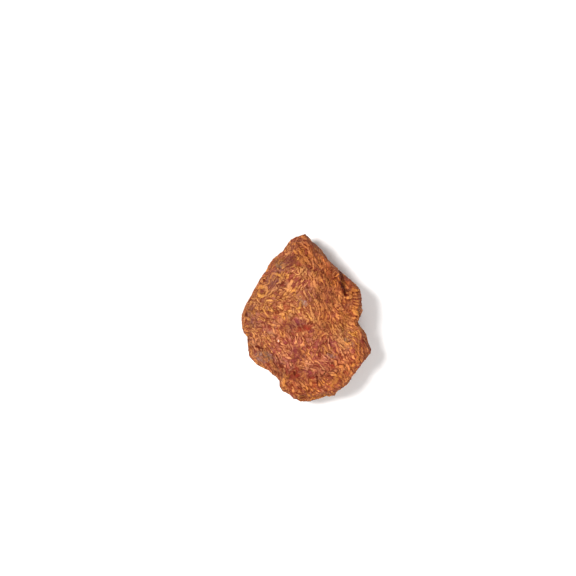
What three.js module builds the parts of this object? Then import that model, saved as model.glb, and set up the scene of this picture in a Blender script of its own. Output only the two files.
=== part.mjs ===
// A rough, broken lump of calligraphy jasper, lying on its broadest flat break.
// Millimetres, +Z up. The origin is the middle of the stone's bounding box, on the resting face.
//
// The stone is star-shaped about its heart: every direction from the heart meets the skin once.
// The skin is the nearest of the stone's breaks in that direction, roughened by small chips.
import * as THREE from "three";
import { mergeVertices } from "three/addons/utils/BufferGeometryUtils.js";

// Driving dimensions
const LENGTH = 61; // along Y, from the blunt end to the tip
const WIDTH = 47; // along X
const HEIGHT = 23; // along Z, from the resting face to the ridge

// How finely the skin is divided
const GRID_STEP = 1.48; // between neighbouring points of the grid
const HEART = new THREE.Vector3(0, 0, 10.5); // inside the stone, seen by all of its skin

// The outline seen from above, clockwise from the tip: [x, y] at the widest level of the side
const OUTLINE = [
  [-0.2, 30.5], [1.2, 29.6], [1.9, 28.1], [3.4, 26.8], [5.2, 25.5], [6.2, 23.9],
  [8.0, 21.4], [9.8, 19.6], [11.9, 17.6], [14.8, 15.0], [16.7, 13.4], [19.4, 10.6],
  [20.3, 7.3], [20.0, 4.4], [20.7, 2.7], [19.9, 0.7], [18.6, -1.1], [19.9, -3.2],
  [21.7, -5.6], [22.4, -8.3], [23.5, -11.5], [23.3, -12.5], [21.4, -14.8], [19.2, -18.1],
  [16.7, -21.2], [15.4, -23.8], [13.0, -25.7], [11.2, -26.8], [10.7, -28.2], [8.6, -28.6],
  [7.6, -28.4], [5.8, -29.0], [2.2, -30.0], [-1.1, -30.4], [-4.0, -29.5], [-5.8, -28.1],
  [-8.7, -26.4], [-9.6, -25.0], [-9.4, -23.2], [-10.5, -21.4], [-12.3, -20.3], [-13.4, -19.0],
  [-16.7, -17.6], [-18.8, -15.9], [-20.6, -13.6], [-21.0, -9.8], [-21.2, -6.9], [-22.6, -5.4],
  [-23.3, -2.2], [-23.3, 0.8], [-22.1, 4.3], [-19.9, 8.0], [-17.6, 12.3], [-14.5, 17.0],
  [-12.3, 20.8], [-10.5, 22.6], [-8.0, 24.6], [-6.2, 27.5], [-4.2, 29.3], [-2.2, 29.9],
];

// How the sides lean in above and below their widest level, around the stone. A lean is the distance in
// for each unit of height.
const SIDES = [
  { bearing: -165, level: 8.2, above: 0.15, below: 0.15 },
  { bearing: -140, level: 8.4, above: 0.15, below: 0.25 },
  { bearing: -118, level: 8.8, above: 0.3, below: 0.3 }, // notch in the lower left edge
  { bearing: -80, level: 8.0, above: 0.2, below: 0.3 }, // blunt end
  { bearing: -50, level: 10.0, above: 0.15, below: 0.2 },
  { bearing: -27, level: 11.5, above: 0.2, below: 0.3 }, // spur on the right
  { bearing: -3, level: 9.6, above: 0.2, below: 0.25 }, // notch in the right edge
  { bearing: 15, level: 8.6, above: 0.12, below: 0.25 },
  { bearing: 50, level: 9.4, above: 0.1, below: 0.25 },
  { bearing: 88, level: 9.0, above: 0.25, below: 0.5 }, // tip
  { bearing: 140, level: 7.8, above: 0.2, below: 0.2 },
  { bearing: 178, level: 7.2, above: 0.2, below: 0.3 },
];

// Away from the widest level a side doesn't follow every small step of the outline: the outline is
// evened out over these turns, in degrees, from nothing to wholly at these heights from that level.
const EVENING_TURNS = [-9, -4.5, 0, 4.5, 9];
const EVENING_BAND = [1.5, 6];

// The large breaks. Each is a plane through a point, facing a bearing (degrees from +X towards +Y)
// and rising so many degrees from level: 90 faces straight up and -90 straight down.
const BREAKS = [
  // the top
  { at: [2.2, 3.0, 22.6], bearing: 172, rise: 79 }, // broad left face
  { at: [2.2, 3.0, 22.6], bearing: -4, rise: 74 }, // broad right face
  { at: [1.0, -6.0, 22.0], bearing: 258, rise: 80 }, // broad lower face
  { at: [-0.5, 18.0, 20.8], bearing: 96, rise: 68 }, // towards the tip
  // the shoulders, between the top and the sides
  { at: [12.6, 14.6, 17.4], bearing: 40, rise: 58 },
  { at: [19.6, -8.6, 16.8], bearing: 350, rise: 58 },
  { at: [14.6, -17.4, 17.4], bearing: 314, rise: 54 },
  { at: [3.0, -24.6, 17.0], bearing: 278, rise: 50 },
  { at: [-5.6, -22.8, 16.8], bearing: 246, rise: 44 },
  { at: [-15.8, -11.6, 17.2], bearing: 214, rise: 55 },
  { at: [-18.4, -0.4, 17.0], bearing: 182, rise: 50 },
  { at: [-12.6, 12.4, 17.8], bearing: 150, rise: 56 },
  { at: [-4.6, 23.0, 17.2], bearing: 130, rise: 48 },
  // the sides above their widest level
  { at: [10.9, 19.2, 9.4], bearing: 46, rise: 8 },
  { at: [18.8, -19.0, 10.6], bearing: 319, rise: 18 },
  { at: [6.0, -28.9, 8.0], bearing: 286, rise: 24 },
  { at: [-5.6, -28.3, 9.4], bearing: 238, rise: 27 },
  { at: [-15.6, -18.2, 8.6], bearing: 229, rise: 16 },
  { at: [-21.2, -10.0, 9.0], bearing: 189, rise: 22 },
  { at: [-23.6, -0.8, 7.4], bearing: 178, rise: 30 },
  { at: [-17.4, 12.8, 8.6], bearing: 150, rise: 31 },
  { at: [-7.4, 25.6, 8.0], bearing: 131, rise: 24 },
  { at: [0.0, 30.8, 9.0], bearing: 84, rise: 30 },
  // the sides below it
  { at: [10.9, 19.2, 8.6], bearing: 38, rise: -22 },
  { at: [23.4, -11.8, 12.0], bearing: 346, rise: -32 },
  { at: [18.8, -19.0, 9.0], bearing: 322, rise: -26 },
  { at: [6.0, -28.9, 7.4], bearing: 280, rise: -34 },
  { at: [-5.6, -28.3, 8.4], bearing: 245, rise: -30 },
  { at: [-15.6, -18.2, 8.2], bearing: 224, rise: -28 },
  { at: [-21.2, -10.0, 7.4], bearing: 196, rise: -24 },
  { at: [-23.6, -0.8, 7.0], bearing: 172, rise: -34 },
  { at: [-17.4, 12.8, 7.0], bearing: 143, rise: -16 },
  { at: [-7.4, 25.6, 7.4], bearing: 122, rise: -28 },
  { at: [0.0, 30.8, 8.6], bearing: 76, rise: -38 },
  // the underside
  { at: [16.0, 8.0, 2.0], bearing: 24, rise: -58 },
  { at: [15.0, -16.0, 2.4], bearing: 318, rise: -62 },
  { at: [-3.0, -23.0, 2.2], bearing: 262, rise: -60 },
  { at: [-18.4, -4.0, 1.8], bearing: 190, rise: -60 },
  { at: [-6.0, 19.0, 2.6], bearing: 118, rise: -60 },
  { at: [0, 0, 0.1], bearing: 0, rise: -90 }, // the resting face, before it is trimmed
];

// Ledges: the stone is missing above each floor wherever that also lies beyond every wall
const LEDGES = [
  {
    floor: { at: [13.5, 12.0, 15.4], bearing: 95, rise: 51 }, // low shelf on the upper right
    walls: [{ at: [12.4, 12.6, 17.0], bearing: 13, rise: 10 }],
  },
  {
    floor: { at: [-1.0, -5.0, 21.2], bearing: 240, rise: 85 }, // small step across the top
    walls: [{ at: [-1.5, -2.6, 21.8], bearing: 286, rise: 38 }],
  },
  {
    floor: { at: [-13.8, -17.4, 12.4], bearing: 236, rise: 58 }, // below the grey corner
    walls: [{ at: [-12.4, -16.8, 14.2], bearing: 214, rise: 22 }],
  },
  {
    floor: { at: [5.0, -28.4, 9.6], bearing: 280, rise: 62 }, // broken lip of the blunt end
    walls: [{ at: [5.0, -26.8, 12.0], bearing: 277, rise: 8 }],
  },
  {
    floor: { at: [-19.6, 5.4, 12.2], bearing: 160, rise: 64 }, // step along the left edge
    walls: [{ at: [-18.4, 5.0, 14.6], bearing: 158, rise: 20 }],
  },
];

// Scoops: hollow, shell-like flakes, each the dent of a ball
const SCOOPS = [
  { at: [-4.4, -20.0, 25.6], radius: 6.4 }, // red hollow with the dark pit
  { at: [-4.4, -19.6, 20.2], radius: 1.5 }, // the dark pit
  { at: [3.4, -22.8, 23.0], radius: 5.2 }, // groove towards the blunt end
  { at: [-5.4, 21.2, 26.6], radius: 6.8 }, // hollow on the upper left
  { at: [-14.0, -11.0, 24.6], radius: 6.6 }, // grey patch on the lower left
  { at: [8.0, 25.4, 21.4], radius: 6.6 }, // below the tip
  { at: [-13.8, -23.2, 11.5], radius: 4.2 }, // notch in the lower left edge
  { at: [-25.4, -6.4, 10.0], radius: 4.4 }, // nick in the left edge
  { at: [31.0, 9.0, 3.2], radius: 12.4 }, // undersides of the right and the left
  { at: [30.0, -19.0, 2.6], radius: 11.6 },
  { at: [-27.0, -22.0, 2.4], radius: 12.6 },
  { at: [-30.6, 14.0, 3.6], radius: 13.2 },
  { at: [17.6, 27.0, 2.4], radius: 11.4 },
  { at: [6.0, -38.6, 2.6], radius: 11.8 },
  { at: [-16.6, 27.6, 13.6], radius: 6.8 },
  { at: [8.0, 12.4, -18.6], radius: 20 }, // flakes off the resting side
  { at: [9.6, -12.8, -20.4], radius: 22 },
  { at: [-12.0, -10.6, -17.0], radius: 18.4 },
  { at: [-9.0, 12.0, -22.6], radius: 24 },
];

const RIDGE_ROUNDING = 0.2; // how softly two breaks meet
const RIDGE_WANDER = 0.03; // how far a ridge strays, as a share of its distance from the heart
const WANDER_SIZE = 6; // the distance over which it strays
const WANDER_SALTS = [51, 52, 53]; // one for each axis

// Chips: fields of small hollow breaks that meet in sharp ridges. Each is bowed and tilted its own way.
const CHIPS = [
  { size: 10, bow: 0.22, tilt: 0.12, salt: 11 },
  { size: 4.3, bow: 0.2, tilt: 0.11, salt: 23 },
];
const STEEPEST_LOOK = 40; // degrees above and below the heart in which the outline is looked for
const LOOKS = 33; // how many heights are tried there
const FITS = 240; // how many bearings are fitted to the outline
const FIT_BAND = [0.55, 0.85]; // the fit starts and is whole at these shares of the outline's radius
const TINY = 1e-9;

const radians = THREE.MathUtils.degToRad;

// A repeatable number from 0 to 1 for a cell of the lattice.
function cellNumber(i, j, k, salt) {
  let bits = Math.imul(i, 374761393) ^ Math.imul(j, 668265263);
  bits ^= Math.imul(k, 1442695041) ^ Math.imul(salt, 1274126177);
  bits = Math.imul(bits ^ (bits >>> 15), 2246822519);
  bits = Math.imul(bits ^ (bits >>> 13), 3266489917);
  return ((bits ^ (bits >>> 16)) >>> 0) / 4294967296;
}

// Depth of a field of chips at a point. Each cell of the lattice holds one bowed, tilted dent, and the
// deepest dent wins, so that neighbours meet in a ridge. All cells within one and a half cells are tried.
function chipDepth(point, { size, bow, tilt, salt }) {
  const [x, y, z] = [point.x / size, point.y / size, point.z / size];
  const [cx, cy, cz] = [x, y, z].map((place) => Math.floor(place - 0.5));
  let depth = -Infinity;
  for (let i = cx - 1; i <= cx + 2; i++) {
    for (let j = cy - 1; j <= cy + 2; j++) {
      for (let k = cz - 1; k <= cz + 2; k++) {
        const dx = x - i - cellNumber(i, j, k, salt);
        const dy = y - j - cellNumber(i, j, k, salt + 1);
        const dz = z - k - cellNumber(i, j, k, salt + 2);
        const slopeX = 2 * cellNumber(i, j, k, salt + 3) - 1;
        const slopeY = 2 * cellNumber(i, j, k, salt + 4) - 1;
        const slopeZ = 2 * cellNumber(i, j, k, salt + 5) - 1;
        const tilted = tilt * (dx * slopeX + dy * slopeY + dz * slopeZ);
        depth = Math.max(depth, tilted - bow * (dx * dx + dy * dy + dz * dz));
      }
    }
  }
  return size * depth;
}

// Smooth noise from -1 to 1: numbers on a lattice, eased from one to the next.
function drift(point, size, salt) {
  const place = point.clone().divideScalar(size);
  const cell = place.clone().floor();
  const [u, v, w] = place.sub(cell).toArray().map((share) => THREE.MathUtils.smoothstep(share, 0, 1));
  const mix = THREE.MathUtils.lerp;
  const corner = (i, j, k) => 2 * cellNumber(cell.x + i, cell.y + j, cell.z + k, salt) - 1;
  const edge = (j, k) => mix(corner(0, j, k), corner(1, j, k), u);
  return mix(mix(edge(0, 0), edge(1, 0), v), mix(edge(0, 1), edge(1, 1), v), w);
}

// The unit vector that points along a bearing and rises from level.
function pointing({ bearing, rise }) {
  return new THREE.Vector3(Math.cos(radians(bearing)), Math.sin(radians(bearing)), 0)
    .multiplyScalar(Math.cos(radians(rise)))
    .setZ(Math.sin(radians(rise)));
}

// Distance from the heart to a break's plane along a direction, or Infinity if it faces away.
function reachOfPlane(direction, plane) {
  const normal = pointing(plane);
  const along = normal.dot(direction);
  const height = normal.dot(new THREE.Vector3(...plane.at).sub(HEART));
  return along > TINY ? height / along : Infinity;
}

// Distance from the heart to the near side of a ball along a direction, or Infinity if it misses.
function reachOfBall(direction, { at, radius }) {
  const toBall = new THREE.Vector3(...at).sub(HEART);
  const nearest = toBall.dot(direction);
  const gap = radius * radius - (toBall.lengthSq() - nearest * nearest);
  return gap > 0 && nearest > 0 ? nearest - Math.sqrt(gap) : Infinity;
}

// A value read from rows by bearing, in a straight line between the rows each side.
function aroundAt(rows, bearing, name) {
  const ahead = (row) => THREE.MathUtils.euclideanModulo(row.bearing - bearing, 360);
  const next = rows.reduce((best, row) => (ahead(row) < ahead(best) ? row : best));
  const last = rows.reduce((best, row) => (ahead(row) > ahead(best) ? row : best));
  const share = ahead(next) / (ahead(next) + 360 - ahead(last) + TINY);
  return next[name] * (1 - share) + last[name] * share;
}

const bearingOf = (x, y) => THREE.MathUtils.radToDeg(Math.atan2(y, x));

const OUTLINE_ROWS = OUTLINE.map(([x, y]) => ({ bearing: bearingOf(x, y), radius: Math.hypot(x, y) }));

// The outline's distance from the axis at a bearing, evened out by how far a place is from the widest level.
function evenedRadius(bearing, away) {
  const sharp = aroundAt(OUTLINE_ROWS, bearing, "radius");
  const near = EVENING_TURNS.map((turn) => aroundAt(OUTLINE_ROWS, bearing + turn, "radius"));
  const even = near.reduce((total, radius) => total + radius, 0) / near.length;
  return THREE.MathUtils.lerp(sharp, even, THREE.MathUtils.smoothstep(away, ...EVENING_BAND));
}

// Distances from the heart to the sides along a direction. They follow the outline, and a leaning side
// is as far from the axis as the outline, less its lean times the height from its widest level.
function reachesOfSides(direction) {
  const bearing = bearingOf(direction.x, direction.y);
  const flat = Math.hypot(direction.x, direction.y);
  const rise = HEART.z - aroundAt(SIDES, bearing, "level");
  const height = (aroundAt(OUTLINE_ROWS, bearing, "radius") * direction.z) / Math.max(flat, TINY);
  const radius = evenedRadius(bearing, Math.abs(rise + height));
  const leans = [aroundAt(SIDES, bearing, "above"), -aroundAt(SIDES, bearing, "below")];
  return leans.map((lean) => {
    const closing = flat + lean * direction.z;
    return closing > TINY ? (radius - lean * rise) / closing : Infinity;
  });
}

// The smallest of many reaches, with a small round where two are nearly equal.
function softNearest(reaches) {
  const nearest = Math.min(...reaches);
  const sum = reaches.reduce((total, reach) => total + Math.exp((nearest - reach) / RIDGE_ROUNDING), 0);
  return nearest - RIDGE_ROUNDING * Math.log(sum);
}

// A direction turned a little aside by smooth noise, so that ridges aren't straight.
function strayed(direction) {
  const probe = direction.clone().multiplyScalar(2 * HEART.z);
  const aside = new THREE.Vector3(...WANDER_SALTS.map((salt) => drift(probe, WANDER_SIZE, salt)));
  return direction.clone().addScaledVector(aside, RIDGE_WANDER).normalize();
}

// The broken and chipped skin in one direction from the heart.
function roughPoint(direction) {
  const aside = strayed(direction);
  const toPlane = (plane) => reachOfPlane(aside, plane);
  const reach = softNearest([
    ...reachesOfSides(aside),
    ...BREAKS.map(toPlane),
    ...LEDGES.map(({ floor, walls }) => Math.max(toPlane(floor), ...walls.map(toPlane))),
    ...SCOOPS.map((ball) => reachOfBall(aside, ball)),
  ]);
  const point = direction.clone().multiplyScalar(reach).add(HEART);
  const depth = CHIPS.reduce((total, field) => total + chipDepth(point, field), 0);
  return point.addScaledVector(direction, -depth);
}

// How far the skin must be moved out or in at many bearings, so that what is seen from above keeps to
// the outline.
const FIT_ROWS = Array.from({ length: FITS }, (_, turn) => {
  const bearing = (turn / FITS) * 360 - 180;
  let widest = 0;
  for (let look = 0; look < LOOKS; look++) {
    const rise = STEEPEST_LOOK * ((2 * look) / (LOOKS - 1) - 1);
    const { x, y } = roughPoint(pointing({ bearing, rise }));
    widest = Math.max(widest, Math.hypot(x, y));
  }
  return { bearing, factor: aroundAt(OUTLINE_ROWS, bearing, "radius") / widest };
});

// The finished skin in one direction from the heart: only points near the outline are moved to it.
function skinPoint(direction) {
  const point = roughPoint(direction);
  const bearing = bearingOf(direction.x, direction.y);
  const share = Math.hypot(point.x, point.y) / aroundAt(OUTLINE_ROWS, bearing, "radius");
  const nearness = THREE.MathUtils.smoothstep(share, ...FIT_BAND);
  const scale = 1 + (aroundAt(FIT_ROWS, bearing, "factor") - 1) * nearness;
  return point.set(point.x * scale, point.y * scale, Math.max(point.z, 0));
}

// A closed grid of points on a box of the stone's size, its doubled edge points merged.
function closedGrid() {
  const steps = (size) => Math.round(size / GRID_STEP);
  const box = new THREE.BoxGeometry(WIDTH, LENGTH, HEIGHT, steps(WIDTH), steps(LENGTH), steps(HEIGHT));
  box.deleteAttribute("normal");
  box.deleteAttribute("uv");
  return mergeVertices(box);
}

// Moves every point of the grid out or in to the skin, along its own direction from the heart.
function moveToSkin(geometry) {
  const position = geometry.getAttribute("position");
  const direction = new THREE.Vector3();
  for (let i = 0; i < position.count; i++) {
    const point = skinPoint(direction.fromBufferAttribute(position, i).normalize());
    position.setXYZ(i, point.x, point.y, point.z);
  }
}

// Brings the geometry to exactly the driving size, with its origin under its middle.
function fitToSize(geometry) {
  geometry.computeBoundingBox();
  const { min, max } = geometry.boundingBox;
  geometry.translate(-(min.x + max.x) / 2, -(min.y + max.y) / 2, -min.z);
  geometry.scale(WIDTH / (max.x - min.x), LENGTH / (max.y - min.y), HEIGHT / (max.z - min.z));
}

// Dull, broken jasper: brown-red and ochre mixed, as they look from a few steps away.
function jasper() {
  const color = new THREE.Color(0x8a4a2c);
  return new THREE.MeshStandardMaterial({ color, roughness: 0.62, metalness: 0, flatShading: true });
}

function jasperStone() {
  const geometry = closedGrid();
  moveToSkin(geometry);
  fitToSize(geometry);
  geometry.computeVertexNormals();
  const mesh = new THREE.Mesh(geometry, jasper());
  mesh.name = "jasper_stone";
  return mesh;
}

const stone = new THREE.Group();
stone.add(jasperStone());

export default stone;
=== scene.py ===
"""Rough calligraphy jasper, dressed: its fine broken skin, its pattern, a floor, light and a camera.

The stone is one piece. Its shape is worked out as the solid's is, from the same breaks, ledges, scoops
and chips, but on a much finer grid and with smaller chips added. Its pattern is bundles of fibres, lumps
and ovals that fill the whole stone, with the top's larger marks and patches drawn over them. Lengths
are in millimetres until a mesh, light or camera is made, and the scene is in metres.
"""

import itertools
import logging
import math
from dataclasses import dataclass
from enum import Enum

import bpy
import numpy as np
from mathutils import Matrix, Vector


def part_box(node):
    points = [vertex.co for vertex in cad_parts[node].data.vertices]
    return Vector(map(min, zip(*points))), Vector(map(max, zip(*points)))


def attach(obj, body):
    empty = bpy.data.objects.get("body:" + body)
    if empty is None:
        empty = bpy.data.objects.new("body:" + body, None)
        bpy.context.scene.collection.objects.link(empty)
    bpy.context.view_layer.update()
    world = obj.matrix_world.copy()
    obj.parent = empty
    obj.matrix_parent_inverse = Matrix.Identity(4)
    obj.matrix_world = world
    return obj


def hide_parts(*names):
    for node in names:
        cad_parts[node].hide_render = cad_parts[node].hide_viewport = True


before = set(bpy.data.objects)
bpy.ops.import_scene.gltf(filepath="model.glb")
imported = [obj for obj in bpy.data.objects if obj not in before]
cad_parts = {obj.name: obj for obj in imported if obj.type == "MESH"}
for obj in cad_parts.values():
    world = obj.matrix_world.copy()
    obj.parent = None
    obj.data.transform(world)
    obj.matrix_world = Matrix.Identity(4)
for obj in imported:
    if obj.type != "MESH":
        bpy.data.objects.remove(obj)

log = logging.getLogger("jasper")

MM = 0.001
TINY = 1e-9

# The point inside the stone that its skin is measured from
HEART = (0.0, 0.0, 10.5)

Array = np.ndarray
Pair = tuple[float, float]
Point = tuple[float, float, float]


# Repeatable noise


AXIS_MIXERS = (374761393, 668265263, 1442695041)
SALT_MIXER = 1274126177
MIXING_ROUNDS = ((15, 2246822519), (13, 3266489917))
LAST_SHIFT = 16


def cell_number(cells: Array, salt: int) -> Array:
    """Give cells of a lattice repeatable numbers from 0 to 1, by mixing the bits of their places.

    Args:
        cells: Whole-number places, one row each.
        salt: A whole number that names one set of numbers.

    Returns:
        One number for each cell.
    """
    word = np.uint32
    bits = word(salt * SALT_MIXER & 0xFFFFFFFF)
    for places, mixer in zip(cells.T, AXIS_MIXERS):
        bits = bits ^ places.astype(np.int64).astype(word) * word(mixer)
    for shift, mixer in MIXING_ROUNDS:
        bits = (bits ^ (bits >> word(shift))) * word(mixer)
    return (bits ^ (bits >> word(LAST_SHIFT))) / 2.0**32


def smooth_step(value: Array, low: float, high: float) -> Array:
    """Rise from 0 at low to 1 at high, level at both ends."""
    share = np.clip((value - low) / (high - low), 0, 1)
    return share * share * (3 - 2 * share)


def drift(points: Array, size: float, salt: int) -> Array:
    """Smooth noise from -1 to 1: lattice numbers, eased from one corner of a cell to the next.

    Args:
        points: Places, one row each.
        size: The side of a cell.
        salt: Names the set of lattice numbers.

    Returns:
        One number for each place.
    """
    place = points / size
    cell = np.floor(place)
    share = smooth_step(place - cell, 0, 1)
    total = np.zeros(len(points))
    for corner in itertools.product((0, 1), repeat=3):
        weight = np.prod(np.where(corner, share, 1 - share), axis=1)
        total += weight * (2 * cell_number(cell + corner, salt) - 1)
    return total


# The stone's shape


def bearing_of(points: Array) -> Array:
    """Find the bearing of each place about the Z axis, in degrees."""
    return np.degrees(np.arctan2(points[:, 1], points[:, 0]))


def radius_of(points: Array) -> Array:
    """Find the distance of each place from the Z axis."""
    return np.hypot(points[:, 0], points[:, 1])


def direction(bearing: float | Array, rise: float | Array) -> Array:
    """Give a unit vector: the bearing's cosine and sine times the rise's cosine, and the rise's sine.

    Args:
        bearing: The angle about the Z axis from +X, in degrees.
        rise: The angle up from level, in degrees.

    Returns:
        One vector, or one row for each bearing.
    """
    bearing, rise = np.radians(bearing), np.radians(rise)
    level = np.cos(rise)
    return np.stack([level * np.cos(bearing), level * np.sin(bearing), np.sin(rise)], axis=-1)


@dataclass(frozen=True)
class Break:
    """A flat break: a plane through a point, facing a bearing and rising from level, in degrees."""

    at: Point
    bearing: float
    rise: float

    def reach(self, directions: Array, heart: Array) -> Array:
        """Distance from the heart to the plane: its height over the share of each direction across it.

        Args:
            directions: Unit vectors, one row each.
            heart: The point that the distances are measured from.

        Returns:
            One distance for each direction, infinite where the plane faces away.
        """
        normal = direction(self.bearing, self.rise)
        along = directions @ normal
        height = normal @ (np.array(self.at) - heart)
        return np.where(along > TINY, height / np.maximum(along, TINY), np.inf)


@dataclass(frozen=True)
class Ledge:
    """A step: stone is missing wherever a place lies above the floor and beyond the wall."""

    floor: Break
    wall: Break

    def reach(self, directions: Array, heart: Array) -> Array:
        """Distance from the heart to the farther of floor and wall, one for each direction."""
        return np.maximum(self.floor.reach(directions, heart), self.wall.reach(directions, heart))


@dataclass(frozen=True)
class Scoop:
    """A hollow, shell-like flake: the dent of a ball."""

    at: Point
    radius: float

    def reach(self, directions: Array, heart: Array) -> Array:
        """Distance from the heart to the near side of the ball: a line meeting a sphere.

        Args:
            directions: Unit vectors, one row each.
            heart: The point that the distances are measured from.

        Returns:
            One distance for each direction, infinite where it misses the ball.
        """
        to_ball = np.array(self.at) - heart
        nearest = directions @ to_ball
        gap = self.radius**2 - (to_ball @ to_ball - nearest**2)
        hit = (gap > 0) & (nearest > 0)
        return np.where(hit, nearest - np.sqrt(np.maximum(gap, 0)), np.inf)


@dataclass(frozen=True)
class Chips:
    """A field of small hollow breaks that meet in sharp ridges, each bowed and tilted its own way.

    Size is the usual distance between them in millimetres, and bow and tilt are how much they curve
    and slant.
    """

    size: float
    bow: float
    tilt: float
    salt: int

    def depth(self, points: Array) -> Array:
        """Depth of the field: each lattice cell holds a bowed, tilted dent, and the deepest one wins.

        All cells within one and a half cells of a place are tried.

        Args:
            points: Places, one row each.

        Returns:
            How deep the chips are cut at each place.
        """
        place = points / self.size
        cell = np.floor(place - 0.5)
        depth = np.full(len(points), -np.inf)
        for step in itertools.product(range(-1, 3), repeat=3):
            corner = cell + step
            numbers = [cell_number(corner, self.salt + n) for n in range(6)]
            offset = place - corner - np.stack(numbers[:3], axis=1)
            slope = 2 * np.stack(numbers[3:], axis=1) - 1
            dent = self.tilt * np.sum(offset * slope, axis=1) - self.bow * np.sum(offset**2, axis=1)
            depth = np.maximum(depth, dent)
        return self.size * depth


# The outline seen from above, clockwise from the tip
OUTLINE = (
    (-0.2, 30.5), (1.2, 29.6), (1.9, 28.1), (3.4, 26.8), (5.2, 25.5), (6.2, 23.9), (8, 21.4), (9.8, 19.6),
    (11.9, 17.6), (14.8, 15), (16.7, 13.4), (19.4, 10.6), (20.3, 7.3), (20, 4.4), (20.7, 2.7),
    (19.9, 0.7), (18.6, -1.1), (19.9, -3.2), (21.7, -5.6), (22.4, -8.3), (23.5, -11.5), (23.3, -12.5),
    (21.4, -14.8), (19.2, -18.1), (16.7, -21.2), (15.4, -23.8), (13, -25.7), (11.2, -26.8), (10.7, -28.2),
    (8.6, -28.6), (7.6, -28.4), (5.8, -29), (2.2, -30), (-1.1, -30.4), (-4, -29.5), (-5.8, -28.1),
    (-8.7, -26.4), (-9.6, -25), (-9.4, -23.2), (-10.5, -21.4), (-12.3, -20.3), (-13.4, -19),
    (-16.7, -17.6), (-18.8, -15.9), (-20.6, -13.6), (-21, -9.8), (-21.2, -6.9), (-22.6, -5.4),
    (-23.3, -2.2), (-23.3, 0.8), (-22.1, 4.3), (-19.9, 8), (-17.6, 12.3), (-14.5, 17), (-12.3, 20.8),
    (-10.5, 22.6), (-8, 24.6), (-6.2, 27.5), (-4.2, 29.3), (-2.2, 29.9),
)

# How the sides lean in: a bearing, the widest level there, and how far in they go for each millimetre
# above and below that level
SIDES = (
    (-165, 8.2, 0.15, 0.15), (-140, 8.4, 0.15, 0.25), (-118, 8.8, 0.3, 0.3), (-80, 8, 0.2, 0.3),
    (-50, 10, 0.15, 0.2), (-27, 11.5, 0.2, 0.3), (-3, 9.6, 0.2, 0.25), (15, 8.6, 0.12, 0.25),
    (50, 9.4, 0.1, 0.25), (88, 9, 0.25, 0.5), (140, 7.8, 0.2, 0.2), (178, 7.2, 0.2, 0.3),
)

# The top, the shoulders, the sides above and below their widest level, and the underside
BREAKS = tuple(Break(*row) for row in (
    ((2.2, 3, 22.6), 172, 79), ((2.2, 3, 22.6), -4, 74), ((1, -6, 22), 258, 80),
    ((-0.5, 18, 20.8), 96, 68), ((12.6, 14.6, 17.4), 40, 58), ((19.6, -8.6, 16.8), 350, 58),
    ((14.6, -17.4, 17.4), 314, 54), ((3, -24.6, 17), 278, 50), ((-5.6, -22.8, 16.8), 246, 44),
    ((-15.8, -11.6, 17.2), 214, 55), ((-18.4, -0.4, 17), 182, 50), ((-12.6, 12.4, 17.8), 150, 56),
    ((-4.6, 23, 17.2), 130, 48), ((10.9, 19.2, 9.4), 46, 8), ((18.8, -19, 10.6), 319, 18),
    ((6, -28.9, 8), 286, 24), ((-5.6, -28.3, 9.4), 238, 27), ((-15.6, -18.2, 8.6), 229, 16),
    ((-21.2, -10, 9), 189, 22), ((-23.6, -0.8, 7.4), 178, 30), ((-17.4, 12.8, 8.6), 150, 31),
    ((-7.4, 25.6, 8), 131, 24), ((0, 30.8, 9), 84, 30), ((10.9, 19.2, 8.6), 38, -22),
    ((23.4, -11.8, 12), 346, -32), ((18.8, -19, 9), 322, -26), ((6, -28.9, 7.4), 280, -34),
    ((-5.6, -28.3, 8.4), 245, -30), ((-15.6, -18.2, 8.2), 224, -28), ((-21.2, -10, 7.4), 196, -24),
    ((-23.6, -0.8, 7), 172, -34), ((-17.4, 12.8, 7), 143, -16), ((-7.4, 25.6, 7.4), 122, -28),
    ((0, 30.8, 8.6), 76, -38), ((16, 8, 2), 24, -58), ((15, -16, 2.4), 318, -62),
    ((-3, -23, 2.2), 262, -60), ((-18.4, -4, 1.8), 190, -60), ((-6, 19, 2.6), 118, -60),
    ((0, 0, 0.1), 0, -90),
))

# The upper right shelf, the step across the top, the corner, the blunt end's lip and the left step
LEDGES = (
    Ledge(Break((13.5, 12, 15.4), 95, 51), Break((12.4, 12.6, 17), 13, 10)),
    Ledge(Break((-1, -5, 21.2), 240, 85), Break((-1.5, -2.6, 21.8), 286, 38)),
    Ledge(Break((-13.8, -17.4, 12.4), 236, 58), Break((-12.4, -16.8, 14.2), 214, 22)),
    Ledge(Break((5, -28.4, 9.6), 280, 62), Break((5, -26.8, 12), 277, 8)),
    Ledge(Break((-19.6, 5.4, 12.2), 160, 64), Break((-18.4, 5, 14.6), 158, 20)),
)

# Hollows of the top, notches in the edge, and large flakes off the sides and the underside
SCOOPS = tuple(Scoop(*row) for row in (
    ((-4.4, -20, 25.6), 6.4), ((-4.4, -19.6, 20.2), 1.5), ((3.4, -22.8, 23), 5.2),
    ((-5.4, 21.2, 26.6), 6.8), ((-14, -11, 24.6), 6.6), ((8, 25.4, 21.4), 6.6),
    ((-13.8, -23.2, 11.5), 4.2), ((-25.4, -6.4, 10), 4.4), ((31, 9, 3.2), 12.4), ((30, -19, 2.6), 11.6),
    ((-27, -22, 2.4), 12.6), ((-30.6, 14, 3.6), 13.2), ((17.6, 27, 2.4), 11.4), ((6, -38.6, 2.6), 11.8),
    ((-16.6, 27.6, 13.6), 6.8), ((8, 12.4, -18.6), 20), ((9.6, -12.8, -20.4), 22),
    ((-12, -10.6, -17), 18.4), ((-9, 12, -22.6), 24),
))


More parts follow.
